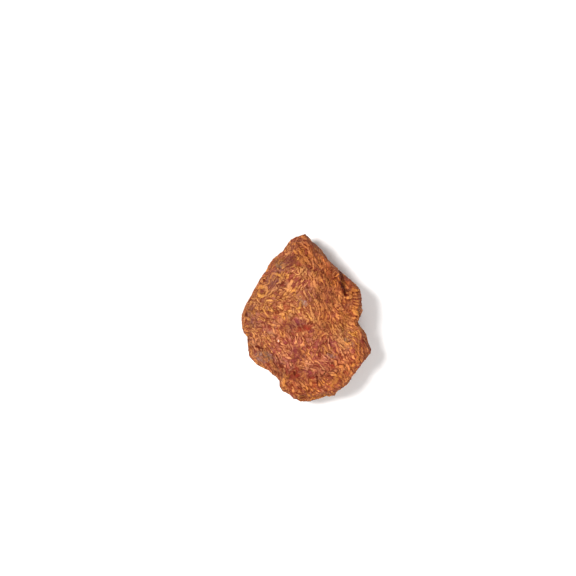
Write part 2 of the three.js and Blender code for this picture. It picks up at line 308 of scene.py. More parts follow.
@dataclass(frozen=True)
class Skin:
    """The stone's skin as a distance from its heart in each direction: the nearest break, chipped.

    Usual_depth is how deep most chips are for their size and bow. The turns that even the outline out
    are in degrees, and they set in over a band of distances from the widest level. Ridges are rounded
    by a length and wander by a share of their distance. The outline is fitted at as many bearings as
    fits says, with as many looks at each, and the fit sets in over a band of shares of its distance.
    """

    heart: Point = HEART
    outline: tuple[Pair, ...] = OUTLINE
    sides: tuple[tuple[float, float, float, float], ...] = SIDES
    cuts: tuple[Break | Ledge | Scoop, ...] = (*BREAKS, *LEDGES, *SCOOPS)
    chips: tuple[Chips, ...] = (
        Chips(10.0, 0.22, 0.12, 11),
        Chips(4.3, 0.2, 0.11, 23),
        Chips(1.9, 0.3, 0.16, 37),
        Chips(0.9, 0.34, 0.18, 83),
    )
    usual_depth: float = 0.6
    evening_turns: tuple[float, ...] = (-9.0, -4.5, 0.0, 4.5, 9.0)
    evening_band: Pair = (1.5, 6.0)
    ridge_rounding: float = 0.12
    ridge_wander: float = 0.03
    wander_size: float = 6.0
    wander_salts: tuple[int, int, int] = (51, 52, 53)
    steepest_look: float = 40.0
    looks: int = 33
    fits: int = 240
    fit_band: Pair = (0.55, 0.85)

    def outline_radius(self, bearing: Array) -> Array:
        """Find the outline's distance from the middle at each bearing, in line between its points."""
        points = np.array(self.outline)
        return np.interp(bearing, bearing_of(points), radius_of(points), period=360)

    def side_reaches(self, directions: Array) -> list[Array]:
        """Distance from the heart to the sides: they follow the outline and lean in from a widest level.

        Above that level a side is where the distance from the axis is the outline's less the lean times
        the height, which each direction meets at one distance. Below it is the same, turned over. Far
        from that level the outline is evened out: its mean over some turns to both sides.

        Args:
            directions: Unit vectors, one row each.

        Returns:
            The distances to the side above and to the side below.
        """
        bearing = bearing_of(directions)
        sharp = self.outline_radius(bearing)
        even = np.mean([self.outline_radius(bearing + turn) for turn in self.evening_turns], axis=0)
        bearings, *columns = np.array(self.sides, dtype=float).T
        level, above, below = (np.interp(bearing, bearings, column, period=360) for column in columns)
        flat = radius_of(directions)
        height = self.heart[2] + sharp * directions[:, 2] / np.maximum(flat, TINY)
        radius = sharp + (even - sharp) * smooth_step(np.abs(height - level), *self.evening_band)
        reaches = []
        for lean in (above, -below):
            closing = flat + lean * directions[:, 2]
            gap = radius - lean * (self.heart[2] - level)
            reaches.append(np.where(closing > TINY, gap / np.maximum(closing, TINY), np.inf))
        return reaches

    def hollowness(self, points: Array) -> Array:
        """How hollow the two finest fields of chips are at each place: from 0 on their ridges to 1.

        Args:
            points: Places on the skin, one row each.

        Returns:
            The mean of both depths, each as a share of its field's usual range.
        """
        ranges = ((chips, self.usual_depth * chips.bow * chips.size) for chips in self.chips[-2:])
        shares = [1 + chips.depth(points) / usual for chips, usual in ranges]
        return np.clip(np.mean(shares, axis=0), 0, 1)

    def strayed(self, directions: Array) -> Array:
        """Turn directions a little aside by smooth noise, so that ridges aren't straight.

        Args:
            directions: Unit vectors, one row each.

        Returns:
            The turned unit vectors.
        """
        probes = directions * 2 * self.heart[2]
        aside = np.stack([drift(probes, self.wander_size, salt) for salt in self.wander_salts], axis=1)
        turned = directions + self.ridge_wander * aside
        return turned / np.linalg.norm(turned, axis=1, keepdims=True)

    def rough_points(self, directions: Array) -> Array:
        """The broken and chipped skin: a soft minimum of all reaches, less the depth of the chips.

        Args:
            directions: Unit vectors from the heart, one row each.

        Returns:
            The point of the skin in each direction.
        """
        heart = np.array(self.heart)
        aside = self.strayed(directions)
        reaches = [*self.side_reaches(aside), *(cut.reach(aside, heart) for cut in self.cuts)]
        nearest = np.min(reaches, axis=0)
        total = sum(np.exp((nearest - reach) / self.ridge_rounding) for reach in reaches)
        reach = nearest - self.ridge_rounding * np.log(total)
        points = heart + directions * reach[:, None]
        depth = sum(chips.depth(points) for chips in self.chips)
        return points - directions * depth[:, None]

    def fit_factors(self) -> tuple[Array, Array]:
        """How far the skin must move out or in at each bearing, so that its outline is as given.

        At each bearing the widest of many heights is found, and the factor is the outline's
        distance from the middle over that.

        Returns:
            The bearings, in degrees, and a factor for each.
        """
        bearings = np.arange(self.fits) * 360 / self.fits - 180
        rises = np.linspace(-self.steepest_look, self.steepest_look, self.looks)
        bearing, rise = (grid.ravel() for grid in np.meshgrid(bearings, rises, indexing="ij"))
        points = self.rough_points(direction(bearing, rise))
        widest = radius_of(points).reshape(len(bearings), -1).max(axis=1)
        return bearings, self.outline_radius(bearings) / widest

    def points(self, directions: Array) -> Array:
        """The finished skin: the rough skin moved to the outline and trimmed flat at the resting face.

        Args:
            directions: Unit vectors from the heart, one row each.

        Returns:
            The point of the skin in each direction.
        """
        points = self.rough_points(directions)
        bearing = bearing_of(directions)
        factor = np.interp(bearing, *self.fit_factors(), period=360)
        share = radius_of(points) / self.outline_radius(bearing)
        points[:, :2] *= 1 + (factor - 1)[:, None] * smooth_step(share, *self.fit_band)[:, None]
        points[:, 2] = np.maximum(points[:, 2], 0)
        return points


def box_grid(size: Array, step: float) -> tuple[Array, Array]:
    """A closed grid of points on a box: each face is a grid of two parameters, shared edges are one.

    Args:
        size: The box's width, length and height.
        step: The distance between neighbouring points.

    Returns:
        The points, about the box's middle, and the squares between them, facing out.
    """
    counts = np.round(size / step).astype(int)
    faces = []
    for axis in range(3):
        across, up = (axis + 1) % 3, (axis + 2) % 3
        u, v = np.meshgrid(np.arange(counts[across]), np.arange(counts[up]), indexing="ij")
        for end in (0, 1):
            corners = np.zeros((u.size, 4, 3), dtype=np.int64)
            corners[:, :, axis] = end * counts[axis]
            around = ((0, 0), (1, 0), (1, 1), (0, 1)) if end else ((0, 0), (0, 1), (1, 1), (1, 0))
            for corner, (du, dv) in enumerate(around):
                corners[:, corner, across] = u.ravel() + du
                corners[:, corner, up] = v.ravel() + dv
            faces.append(corners)
    corners = np.concatenate(faces)
    spans = counts + 1
    names = corners[..., 0] + spans[0] * (corners[..., 1] + spans[1] * corners[..., 2])
    unique, squares = np.unique(names, return_inverse=True)
    rows = unique // spans[0]
    places = np.stack([unique % spans[0], rows % spans[1], rows // spans[1]], axis=1)
    return (places / counts - 0.5) * size, squares.reshape(-1, 4)


def mesh_object(name: str, points: Array, squares: Array) -> bpy.types.Object:
    """Make a smooth-shaded mesh object of four-sided faces and link it to the scene.

    Args:
        name: The object's name.
        points: Places in metres, one row each.
        squares: Four point numbers for each face, anticlockwise seen from outside.

    Returns:
        The new object, at the origin.
    """
    mesh = bpy.data.meshes.new(name)
    mesh.vertices.add(len(points))
    mesh.vertices.foreach_set("co", points.astype(np.float32).ravel())
    mesh.loops.add(squares.size)
    mesh.loops.foreach_set("vertex_index", squares.astype(np.int32).ravel())
    mesh.polygons.add(len(squares))
    mesh.polygons.foreach_set("loop_start", np.arange(0, squares.size, 4, dtype=np.int32))
    mesh.polygons.foreach_set("use_smooth", np.ones(len(squares), dtype=bool))
    mesh.update(calc_edges=True)
    mesh.validate()
    made = bpy.data.objects.new(name, mesh)
    bpy.context.scene.collection.objects.link(made)
    return made


def keep_values(made: bpy.types.Object, name: str, values: Array) -> None:
    """Hold a number or a vector for each point of a mesh, under a name that shaders can read.

    Args:
        made: The mesh's object.
        name: The name of the attribute.
        values: One number, or one row of three, for each point.
    """
    kind, key = ("FLOAT", "value") if values.ndim == 1 else ("FLOAT_VECTOR", "vector")
    kept = made.data.attributes.new(name, kind, "POINT")
    kept.data.foreach_set(key, values.astype(np.float32).ravel())


# Shader nodes


Socket = bpy.types.NodeSocket
Value = Socket | float
Triple = Socket | Point
Colour = tuple[float, float, float, float]
Inputs = dict[str | int, Triple | Value | Colour]

# The middle of three numbers of noise
NOISE_MIDDLE = (0.5, 0.5, 0.5)


@dataclass(frozen=True)
class Noise:
    """Soft noise: lumps for each millimetre, how many finer layers are added and how strong they are."""

    scale: float
    detail: float
    roughness: float


class Graph:
    """Adds shader nodes to the tree of a material or a world, so that a pattern reads as plain steps."""

    def __init__(self, tree: bpy.types.NodeTree) -> None:
        """Keep the node tree that the nodes go into."""
        self.tree = tree

    def node(self, kind: str, inputs: Inputs | None = None, **settings: object) -> bpy.types.Node:
        """Add a node, set its properties, and wire or set its inputs.

        Args:
            kind: The node's type name.
            inputs: For each input, by name or number, an output to wire or a value to set.
            **settings: Properties of the node itself.

        Returns:
            The node.
        """
        made = self.tree.nodes.new(kind)
        for name, value in settings.items():
            setattr(made, name, value)
        for key, value in (inputs or {}).items():
            if isinstance(value, Socket):
                self.tree.links.new(value, made.inputs[key])
            else:
                made.inputs[key].default_value = value
        return made

    def math(self, operation: str, *values: Value) -> Socket:
        """Apply a Math operation to one, two or three numbers or outputs."""
        return self.node("ShaderNodeMath", dict(enumerate(values)), operation=operation).outputs[0]

    def times(self, first: Value, second: Value) -> Socket:
        """Multiply two numbers."""
        return self.math("MULTIPLY", first, second)

    def less(self, first: Value, second: Value) -> Socket:
        """Take the second number from the first."""
        return self.math("SUBTRACT", first, second)

    def between(self, share: Value, low: float, high: float) -> Socket:
        """Go in line from low, where share is 0, to high, where it is 1."""
        return self.math("MULTIPLY_ADD", share, high - low, low)

    def vector(self, operation: str, *values: Triple, output: str = "Vector") -> Socket:
        """Apply a Vector Math operation and give its vector, or with the output Value its number."""
        inputs = dict(enumerate(values))
        return self.node("ShaderNodeVectorMath", inputs, operation=operation).outputs[output]

    def scaled(self, vector: Triple, factor: Value) -> Socket:
        """Multiply a vector by one number."""
        inputs = {0: vector, "Scale": factor}
        return self.node("ShaderNodeVectorMath", inputs, operation="SCALE").outputs[0]

    def length(self, vector: Triple) -> Socket:
        """Measure a vector."""
        return self.vector("LENGTH", vector, output="Value")

    def dot(self, first: Triple, second: Triple) -> Socket:
        """Multiply two vectors into one number."""
        return self.vector("DOT_PRODUCT", first, second, output="Value")

    def parts(self, vector: Socket) -> tuple[Socket, ...]:
        """Split a vector into its three numbers."""
        return tuple(self.node("ShaderNodeSeparateXYZ", {0: vector}).outputs)

    def step(self, value: Value, low: Value, high: Value, start: Value = 0.0, end: Value = 1.0) -> Socket:
        """Go smoothly from start, where value is low or less, to end, where it is high or more.

        Args:
            value: The number that is looked at.
            low: Where the change begins.
            high: Where it is done.
            start: The result below low.
            end: The result above high.

        Returns:
            The result's output.
        """
        sockets = {"Value": value, "From Min": low, "From Max": high, "To Min": start, "To Max": end}
        return self.node("ShaderNodeMapRange", sockets, interpolation_type="SMOOTHSTEP").outputs["Result"]

    def noise(self, place: Triple, kind: Noise, output: str = "Fac") -> Socket:
        """Look noise up at a place: one number, or with the output Color a vector of three."""
        inputs = {"Vector": place, "Scale": kind.scale, "Detail": kind.detail, "Roughness": kind.roughness}
        return self.node("ShaderNodeTexNoise", inputs).outputs[output]

    def noises(self, place: Triple, kind: Noise) -> tuple[Socket, ...]:
        """Look up three numbers of noise at a place."""
        return self.parts(self.noise(place, kind, "Color"))

    def mixed(self, share: Value, first: Socket | Colour, second: Socket | Colour) -> Socket:
        """Blend two colours: first where share is 0, second where it is 1."""
        inputs = {"Factor": share, 6: first, 7: second}
        return self.node("ShaderNodeMix", inputs, data_type="RGBA").outputs[2]

    def washed(self, share: Value, colour: Socket, wash: Point) -> Socket:
        """Multiply a share of a colour by three factors: for red, green and blue."""
        return self.mixed(share, colour, self.vector("MULTIPLY", colour, wash))

    def attribute(self, name: str, output: str = "Fac") -> Socket:
        """Read what the mesh holds at its points under a name."""
        return self.node("ShaderNodeAttribute", attribute_name=name).outputs[output]


def linear(red: int, green: int, blue: int) -> Colour:
    """Turn a screen colour into the linear light that a shader takes, by the standard screen curve.

    Args:
        red: The red part, from 0 to 255.
        green: The green part.
        blue: The blue part.

    Returns:
        The three parts from 0 to 1, and a 1 for a solid colour.
    """
    shares = (value / 255 for value in (red, green, blue))
    values = (s / 12.92 if s <= 0.04045 else ((s + 0.055) / 1.055) ** 2.4 for s in shares)
    return (*values, 1.0)


SHADOW = linear(76, 10, 0)
GROUND_DARK = linear(130, 57, 34)
GROUND_LIGHT = linear(170, 98, 60)
MAROON = linear(128, 58, 48)
MAUVE = linear(150, 94, 80)
RED = linear(146, 50, 28)
GREY = linear(160, 122, 98)
OLIVE = linear(164, 114, 74)
OCHRE_DEEP = linear(184, 114, 64)
OCHRE = linear(202, 134, 76)
APRICOT = linear(192, 124, 78)
PALE = linear(206, 137, 78)
# Painted highlight: the near-white colour of the glints on the top
GLINT = linear(238, 226, 214)


class Look(Enum):
    """The looks that a stretch of the stone can have, each the name of an amount on the mesh."""

    FINE = "fine"
    RED = "red"
    MAROON = "maroon"
    GREY = "grey"
    MAUVE = "mauve"
    ROSY_WASH = "rosy_wash"
    RUSTY_WASH = "rusty_wash"
    CLAY_WASH = "clay_wash"
    # Darker patches: partly a dimmer tone and partly painted shade, as on the tip
    DIM_TONE_AND_PAINTED_SHADE = "dim_tone_and_painted_shade"
    # Paler patches: partly a brighter tone and partly painted light
    BRIGHT_TONE_AND_PAINTED_LIGHT = "bright_tone_and_painted_light"


class Ink(Enum):
    """What the top's larger marks are made of, each the name of a distance on the mesh; the pit marks are
    painted shade and the glint marks painted highlights.
    """

    MAROON = "maroon_mark"
    OCHRE = "ochre_mark"
    PALE = "pale_mark"
    # Painted shade in pits, fissures, notches and the shelf's recess
    PIT_SHADE = "painted_pit_shade"
    # Painted highlights: small glints
    GLINT = "glint_mark"


@dataclass
class Coat:
    """The material's nodes, and what they have worked out so far at each place of the stone.

    Place is in millimetres, and stirred the same, shifted by noise. Grain is the grain's direction
    across the fibres, and outward the way out of the stone. Coarse is how much wider than usual the
    pattern is, and bare the share of the strokes that is missing.
    """

    graph: Graph
    place: Socket
    stirred: Socket
    grain: Socket
    outward: Socket
    coarse: Socket
    bare: Socket
    colour: Socket
    relief: Value = 0.0

    def paint(self, share: Value, colour: Socket | Colour) -> None:
        """Cover a share of the colour so far with another colour, less where the stone is bare."""
        kept = self.graph.between(self.bare, 1.0, 0.0)
        self.colour = self.graph.mixed(self.graph.times(share, kept), self.colour, colour)

    def lift(self, share: Value) -> None:
        """Raise the relief so far to at least a share of its whole height."""
        self.relief = self.graph.math("MAXIMUM", share, self.relief)


@dataclass(frozen=True)
class Cell:
    """The cell that each place lies in: the offset from its middle, its direction and its numbers.

    The offset is in millimetres, and the direction lies across the cell's fibres.
    """

    graph: Graph
    offset: Socket
    across: Socket
    random: Socket
    picks: tuple[Socket, ...]

    def beyond_shell(self, radius: Socket) -> Socket:
        """How far a place lies outside a ball that the cell's middle touches.

        The ball's centre lies off the middle by its radius, in the cell's direction, so that
        fibres that keep to its shells curve about that centre.

        Args:
            radius: The ball's radius in millimetres.

        Returns:
            The distance, negative inside the ball.
        """
        centre = self.graph.scaled(self.across, radius)
        from_centre = self.graph.vector("SUBTRACT", self.offset, centre)
        return self.graph.less(self.graph.length(from_centre), radius)


@dataclass(frozen=True)
class Cells:
    """A split of the stone into uneven cells, each with a middle, a direction and numbers of its own.

    Size is the usual distance between middles, in millimetres. A direction follows the stone's grain
    where it has one, and wander says how far it strays from it.
    """

    size: float
    seed: float
    wander: float = 0.5

    def lay(self, coat: Coat) -> Cell:
        """Add the nodes of the cell that each place lies in.

        Args:
            coat: The nodes, the stirred place, the grain and the way out of the stone.

        Returns:
            The cell.
        """
        graph = coat.graph
        shift = (self.seed, -2 * self.seed, 3 * self.seed)
        inputs = {"Vector": coat.stirred, "Location": shift, "Scale": (1 / self.size,) * 3}
        turned = graph.node("ShaderNodeMapping", inputs).outputs[0]
        cells = graph.node("ShaderNodeTexVoronoi", {"Vector": turned, "Scale": 1.0, "Randomness": 1.0})
        middle = cells.outputs["Position"]
        offset = graph.scaled(graph.vector("SUBTRACT", turned, middle), self.size)
        own = graph.vector("SUBTRACT", cells.outputs["Color"], NOISE_MIDDLE)
        own = graph.scaled(graph.vector("NORMALIZE", own), self.wander)
        across = graph.vector("ADD", own, coat.grain)
        across = graph.vector("SUBTRACT", across, graph.vector("PROJECT", across, coat.outward))
        across = graph.vector("NORMALIZE", across)
        drawn = graph.node("ShaderNodeTexWhiteNoise", {"Vector": middle}, noise_dimensions="3D")
        random = drawn.outputs["Color"]
        return Cell(graph, offset, across, random, graph.parts(random))


@dataclass(frozen=True)
class Layer:
    """What all markings share: a deep and a pale colour."""

    deep: Colour
    pale: Colour

    def lay(self, coat: Coat) -> None:
        """Lay the marking over the colour and relief so far: each kind of marking has its own way."""
        raise NotImplementedError


@dataclass(frozen=True)
class CellLayer(Layer):
    """A marking that lies in each of the stone's uneven cells in its own way."""

    cells: Cells


@dataclass(frozen=True)
class Fibres(CellLayer):
    """Bundles of curved, parallel fibres: in each cell, ball shells one inside another.

    Width is a fibre's usual half width, and spacing and reach are the least and the greatest distance
    between fibres and radius of the shells, all in millimetres. Cover is the share of the stone, in
    clouds, that the bundles take up, and only the look that they keep to, if any. Swell is the noise
    that bends, swells and fades the fibres. Waver, thickness, rim_reach and pale_reach are in widths.
    """

    width: float
    spacing: Pair
    reach: Pair
    rim: float
    cover: float = 1.0
    only: Look | None = None
    only_band: Pair = (0.35, 0.7)
    swell: Noise = Noise(0.38, 2.0, 0.6)
    swell_band: Pair = (0.36, 0.64)
    fade_band: Pair = (0.34, 0.6)
    faded: float = 0.5
    waver: float = 1.6
    thickness: Pair = (0.3, 1.7)
    clouds: Noise = Noise(0.28, 1.0, 0.5)
    cloud_spread: float = 0.3
    cloud_edge: float = 0.03
    rim_reach: float = 1.2
    pale_reach: float = 1.4
    palest: Pair = (0.3, 1.0)
    edge: Pair = (-0.16, 0.06)

    def lay(self, coat: Coat) -> None:
        """Lay the bundles over the colour so far.

        Args:
            coat: What is worked out so far, changed in place.
        """
        graph = coat.graph
        cell = self.cells.lay(coat)
        depth = cell.beyond_shell(graph.between(cell.picks[0], *self.reach))
        waver, swell, fade = graph.noises(coat.place, self.swell)
        depth = graph.math("MULTIPLY_ADD", waver, self.waver * self.width, depth)
        spacing = graph.times(graph.between(cell.picks[1], *self.spacing), coat.coarse)
        distance = graph.math("PINGPONG", depth, graph.times(spacing, 0.5))
        thin, thick = (share * self.width for share in self.thickness)
        width = graph.step(swell, *self.swell_band, thin, thick)
        if self.cover < 1:
            cloud = graph.noises(coat.place, self.clouds)[int(self.cells.seed) % 3]
            level = 0.5 + self.cloud_spread * (0.5 - self.cover)
            share = graph.step(cloud, level - self.cloud_edge, level + self.cloud_edge)
            width = graph.times(width, share)
        if self.only:
            share = graph.step(graph.attribute(self.only.value), *self.only_band)
            width = graph.times(width, share)
        clearance = graph.less(distance, width)
        coat.paint(graph.step(clearance, 0.0, self.rim_reach * self.width, self.rim, 0.0), SHADOW)
        stroke = graph.step(clearance, *self.edge, 1.0, 0.0)
        strength = graph.step(fade, *self.fade_band, self.faded, 1.0)
        tone = graph.step(clearance, -self.pale_reach * self.width, 0.0, 1.0, 0.0)
        tone = graph.times(tone, graph.between(cell.picks[2], *self.palest))
        coat.paint(graph.times(stroke, strength), graph.mixed(tone, self.deep, self.pale))


@dataclass(frozen=True)
class Lumps(CellLayer):
    """Ragged lumps drawn out along the fibres, each with a dark rim: noise that is cut off at a level.

    Width is the usual width of a lump in millimetres, stretch how much longer it is than wide, and
    level the noise above which it is a lump. Fine is how far that level moves up where the pattern is
    fine. The bands of noise above the level are those of the rim, the edge and the body's two colours.
    """

    width: float = 0.74
    stretch: float = 5.0
    level: float = 0.6
    fine: float = 0.05
    rim: float = 0.6
    lumps_in_a_width: float = 0.55
    detail: float = 1.0
    raggedness: float = 0.45
    shift: float = 60.0
    rim_band: Pair = (-0.07, -0.005)
    edge: Pair = (-0.012, 0.012)
    body_band: Pair = (0.02, 0.14)

    def lay(self, coat: Coat) -> None:
        """Lay the lumps over the colour and relief so far.

        In each cell the noise is looked up at the offset from the middle, pressed together along
        the cell's fibres, so that what it makes is drawn out along them.

        Args:
            coat: What is worked out so far, changed in place.
        """
        graph = coat.graph
        cell = self.cells.lay(coat)
        along = graph.vector("CROSS_PRODUCT", cell.across, coat.outward)
        excess = graph.times(graph.dot(cell.offset, along), 1 - 1 / self.stretch)
        pressed = graph.vector("SUBTRACT", cell.offset, graph.scaled(along, excess))
        shifted = graph.vector("ADD", pressed, graph.scaled(cell.random, self.shift))
        lumps = Noise(self.lumps_in_a_width / self.width, self.detail, self.raggedness)
        height = graph.noise(shifted, lumps)
        level = graph.between(graph.attribute(Look.FINE.value), self.level, self.level + self.fine)
        above = graph.less(height, level)
        coat.paint(graph.step(above, *self.rim_band, 0.0, self.rim), SHADOW)
        lump = graph.step(above, *self.edge)
        coat.paint(lump, graph.mixed(graph.step(above, *self.body_band), self.pale, self.deep))
        coat.lift(lump)


@dataclass(frozen=True)
class Strokes(CellLayer):
    """Single curved strokes, one to a cell, widest at the cell's middle and tapered to its border.

    Width is a stroke's usual half width, and reach the least and the greatest radius of its curve, in
    millimetres. Kept is the share of cells with a stroke. Widths and colour_reach are in usual widths,
    and taper in cell sizes.
    """

    width: float = 0.28
    reach: Pair = (0.96, 4.8)
    kept: float = 0.2
    rim: float = 0.6
    widths: Pair = (0.5, 1.5)
    taper: Pair = (0.3, 0.75)
    colour_reach: float = 1.2
    edge: Pair = (-0.14, 0.05)

    def lay(self, coat: Coat) -> None:
        """Lay the strokes over the colour so far.

        Args:
            coat: What is worked out so far, changed in place.
        """
        graph = coat.graph
        cell = self.cells.lay(coat)
        depth = cell.beyond_shell(graph.between(cell.picks[0], *self.reach))
        distance = graph.math("ABSOLUTE", depth)
        start, end = (share * self.cells.size for share in self.taper)
        taper = graph.step(graph.length(cell.offset), start, end, 1.0, 0.0)
        width = graph.between(cell.picks[1], *(share * self.width for share in self.widths))
        here = graph.math("LESS_THAN", cell.picks[2], self.kept)
        clearance = graph.less(distance, graph.times(graph.times(width, taper), here))
        faded = self.colour_reach * self.width
        coat.paint(graph.times(graph.step(clearance, 0.0, faded, self.rim, 0.0), here), SHADOW)
        tone = graph.times(graph.step(clearance, -faded, 0.0, 1.0, 0.0), cell.picks[0])
        stroke = graph.step(clearance, *self.edge, 1.0, 0.0)
        coat.paint(stroke, graph.mixed(tone, self.deep, self.pale))


@dataclass(frozen=True)
class Eyes(CellLayer):
    """Maroon ovals ringed with a pale line: what a fibre bundle encloses where it is cut across.

    Size is the least and the greatest half width of an oval in millimetres, and kept the share of
    cells with one. Along is what the square of an offset counts for, unless it lies across the
    fibres. The ring's middle and its fading are in ring widths.
    """

    size: Pair = (0.35, 1.05)
    kept: float = 0.25
    along: float = 0.35
    ring: float = 0.34
    ring_middle: float = 0.6
    ring_fade: Pair = (0.3, 0.65)
    ring_strength: float = 0.85
    edge: Pair = (-0.12, 0.06)

    def lay(self, coat: Coat) -> None:
        """Lay the ovals over the colour so far.

        An oval's size at a place is the length of its offset from the middle, whose square counts in
        full across the fibres and in part along them.

        Args:
            coat: What is worked out so far, changed in place.
        """
        graph = coat.graph
        cell = self.cells.lay(coat)
        across = graph.dot(cell.offset, cell.across)
        whole = graph.times(graph.dot(cell.offset, cell.offset), self.along)
        oval = graph.math("MULTIPLY_ADD", graph.times(across, across), 1 - self.along, whole)
        edge = graph.less(graph.math("SQRT", oval), graph.between(cell.picks[1], *self.size))
        here = graph.math("LESS_THAN", cell.picks[2], self.kept)
        off_ring = graph.math("ABSOLUTE", graph.less(edge, self.ring_middle * self.ring))
        start, end = (share * self.ring for share in self.ring_fade)
        ring = graph.step(off_ring, start, end, self.ring_strength, 0.0)
        coat.paint(graph.times(ring, here), self.pale)
        coat.paint(graph.times(graph.step(edge, *self.edge, 1.0, 0.0), here), self.deep)


@dataclass(frozen=True)
class Drawn(Layer):
    """The top's larger marks in one ink: wherever the mesh's distance to them is below nothing.

    Wobble is how far the edge strays in millimetres, rim how dark the edge's shadow is, and strength
    how much of the colour below is covered. The bands are distances in millimetres too.
    """

    ink: Ink
    wobble: float = 1.5
    rim: float = 0.45
    strength: float = 0.95
    stray: Noise = Noise(0.9, 3.0, 0.7)
    rim_band: Pair = (0.0, 0.4)
    body_band: Pair = (-0.45, -0.05)
    edge: Pair = (-0.12, 0.1)

    def lay(self, coat: Coat) -> None:
        """Lay the marks over the colour and relief so far.

        Args:
            coat: What is worked out so far, changed in place.
        """
        graph = coat.graph
        stray = graph.between(graph.noise(coat.place, self.stray), -0.5 * self.wobble, 0.5 * self.wobble)
        edge = graph.math("ADD", graph.attribute(self.ink.value), stray)
        coat.colour = graph.mixed(graph.step(edge, *self.rim_band, self.rim, 0.0), coat.colour, SHADOW)
        body = graph.mixed(graph.step(edge, *self.body_band), self.deep, self.pale)
        mark = graph.step(edge, *self.edge, self.strength, 0.0)
        coat.colour = graph.mixed(mark, coat.colour, body)
        if self.ink is Ink.OCHRE:
            coat.lift(mark)


# The bundles and lumps of one place share its cell, so that they run the same way
BUNDLES = Cells(5.8, 3.1, 0.4)
STREAKS = Cells(12.0, 31.7, 0.12)

# From the finest bundles, through lumps, ovals and the top's own marks, up to the bright strokes
MARKINGS = (
    Fibres(OCHRE_DEEP, APRICOT, BUNDLES, 0.28, (1.125, 1.875), (3.2, 14.4), rim=0.6, cover=0.85),
    Lumps(OCHRE_DEEP, OCHRE, BUNDLES),
    Drawn(MAROON, MAROON, Ink.MAROON, rim=0.2, strength=0.85),
    Eyes(MAROON, OCHRE_DEEP, Cells(4.8, 12.4)),
    Fibres(OCHRE, PALE, BUNDLES, 0.36, (3.0, 5.0), (3.2, 14.4), rim=0.75, cover=0.4),
    Fibres(OCHRE_DEEP, OCHRE, STREAKS, 0.3, (1.2, 2.0), (10.4, 46.8), rim=0.7, only=Look.FINE),
    Drawn(OCHRE, OCHRE_DEEP, Ink.OCHRE, wobble=1.2, strength=0.88),
    Strokes(OCHRE, PALE, Cells(4.8, 27.3)),
    Drawn(PALE, APRICOT, Ink.PALE, wobble=0.7),
    # Painted shade: pits, fissures, notches and the shelf's recess darkened
    Drawn(SHADOW, SHADOW, Ink.PIT_SHADE, wobble=1.0, rim=0.35, strength=0.9),
    # Painted highlights: a few glints
    Drawn(GLINT, PALE, Ink.GLINT, wobble=0.8, rim=0.0, strength=0.9),
)


@dataclass(frozen=True)
class Tint:
    """A colour over the one below: the band of a number, and how much shows below and above that band."""

    colour: Colour
    band: Pair
    shares: Pair

    def over(self, graph: Graph, value: Socket, below: Socket) -> Socket:
        """Lay the tint over the colour below, by a number."""
        return graph.mixed(graph.step(value, *self.band, *self.shares), below, self.colour)


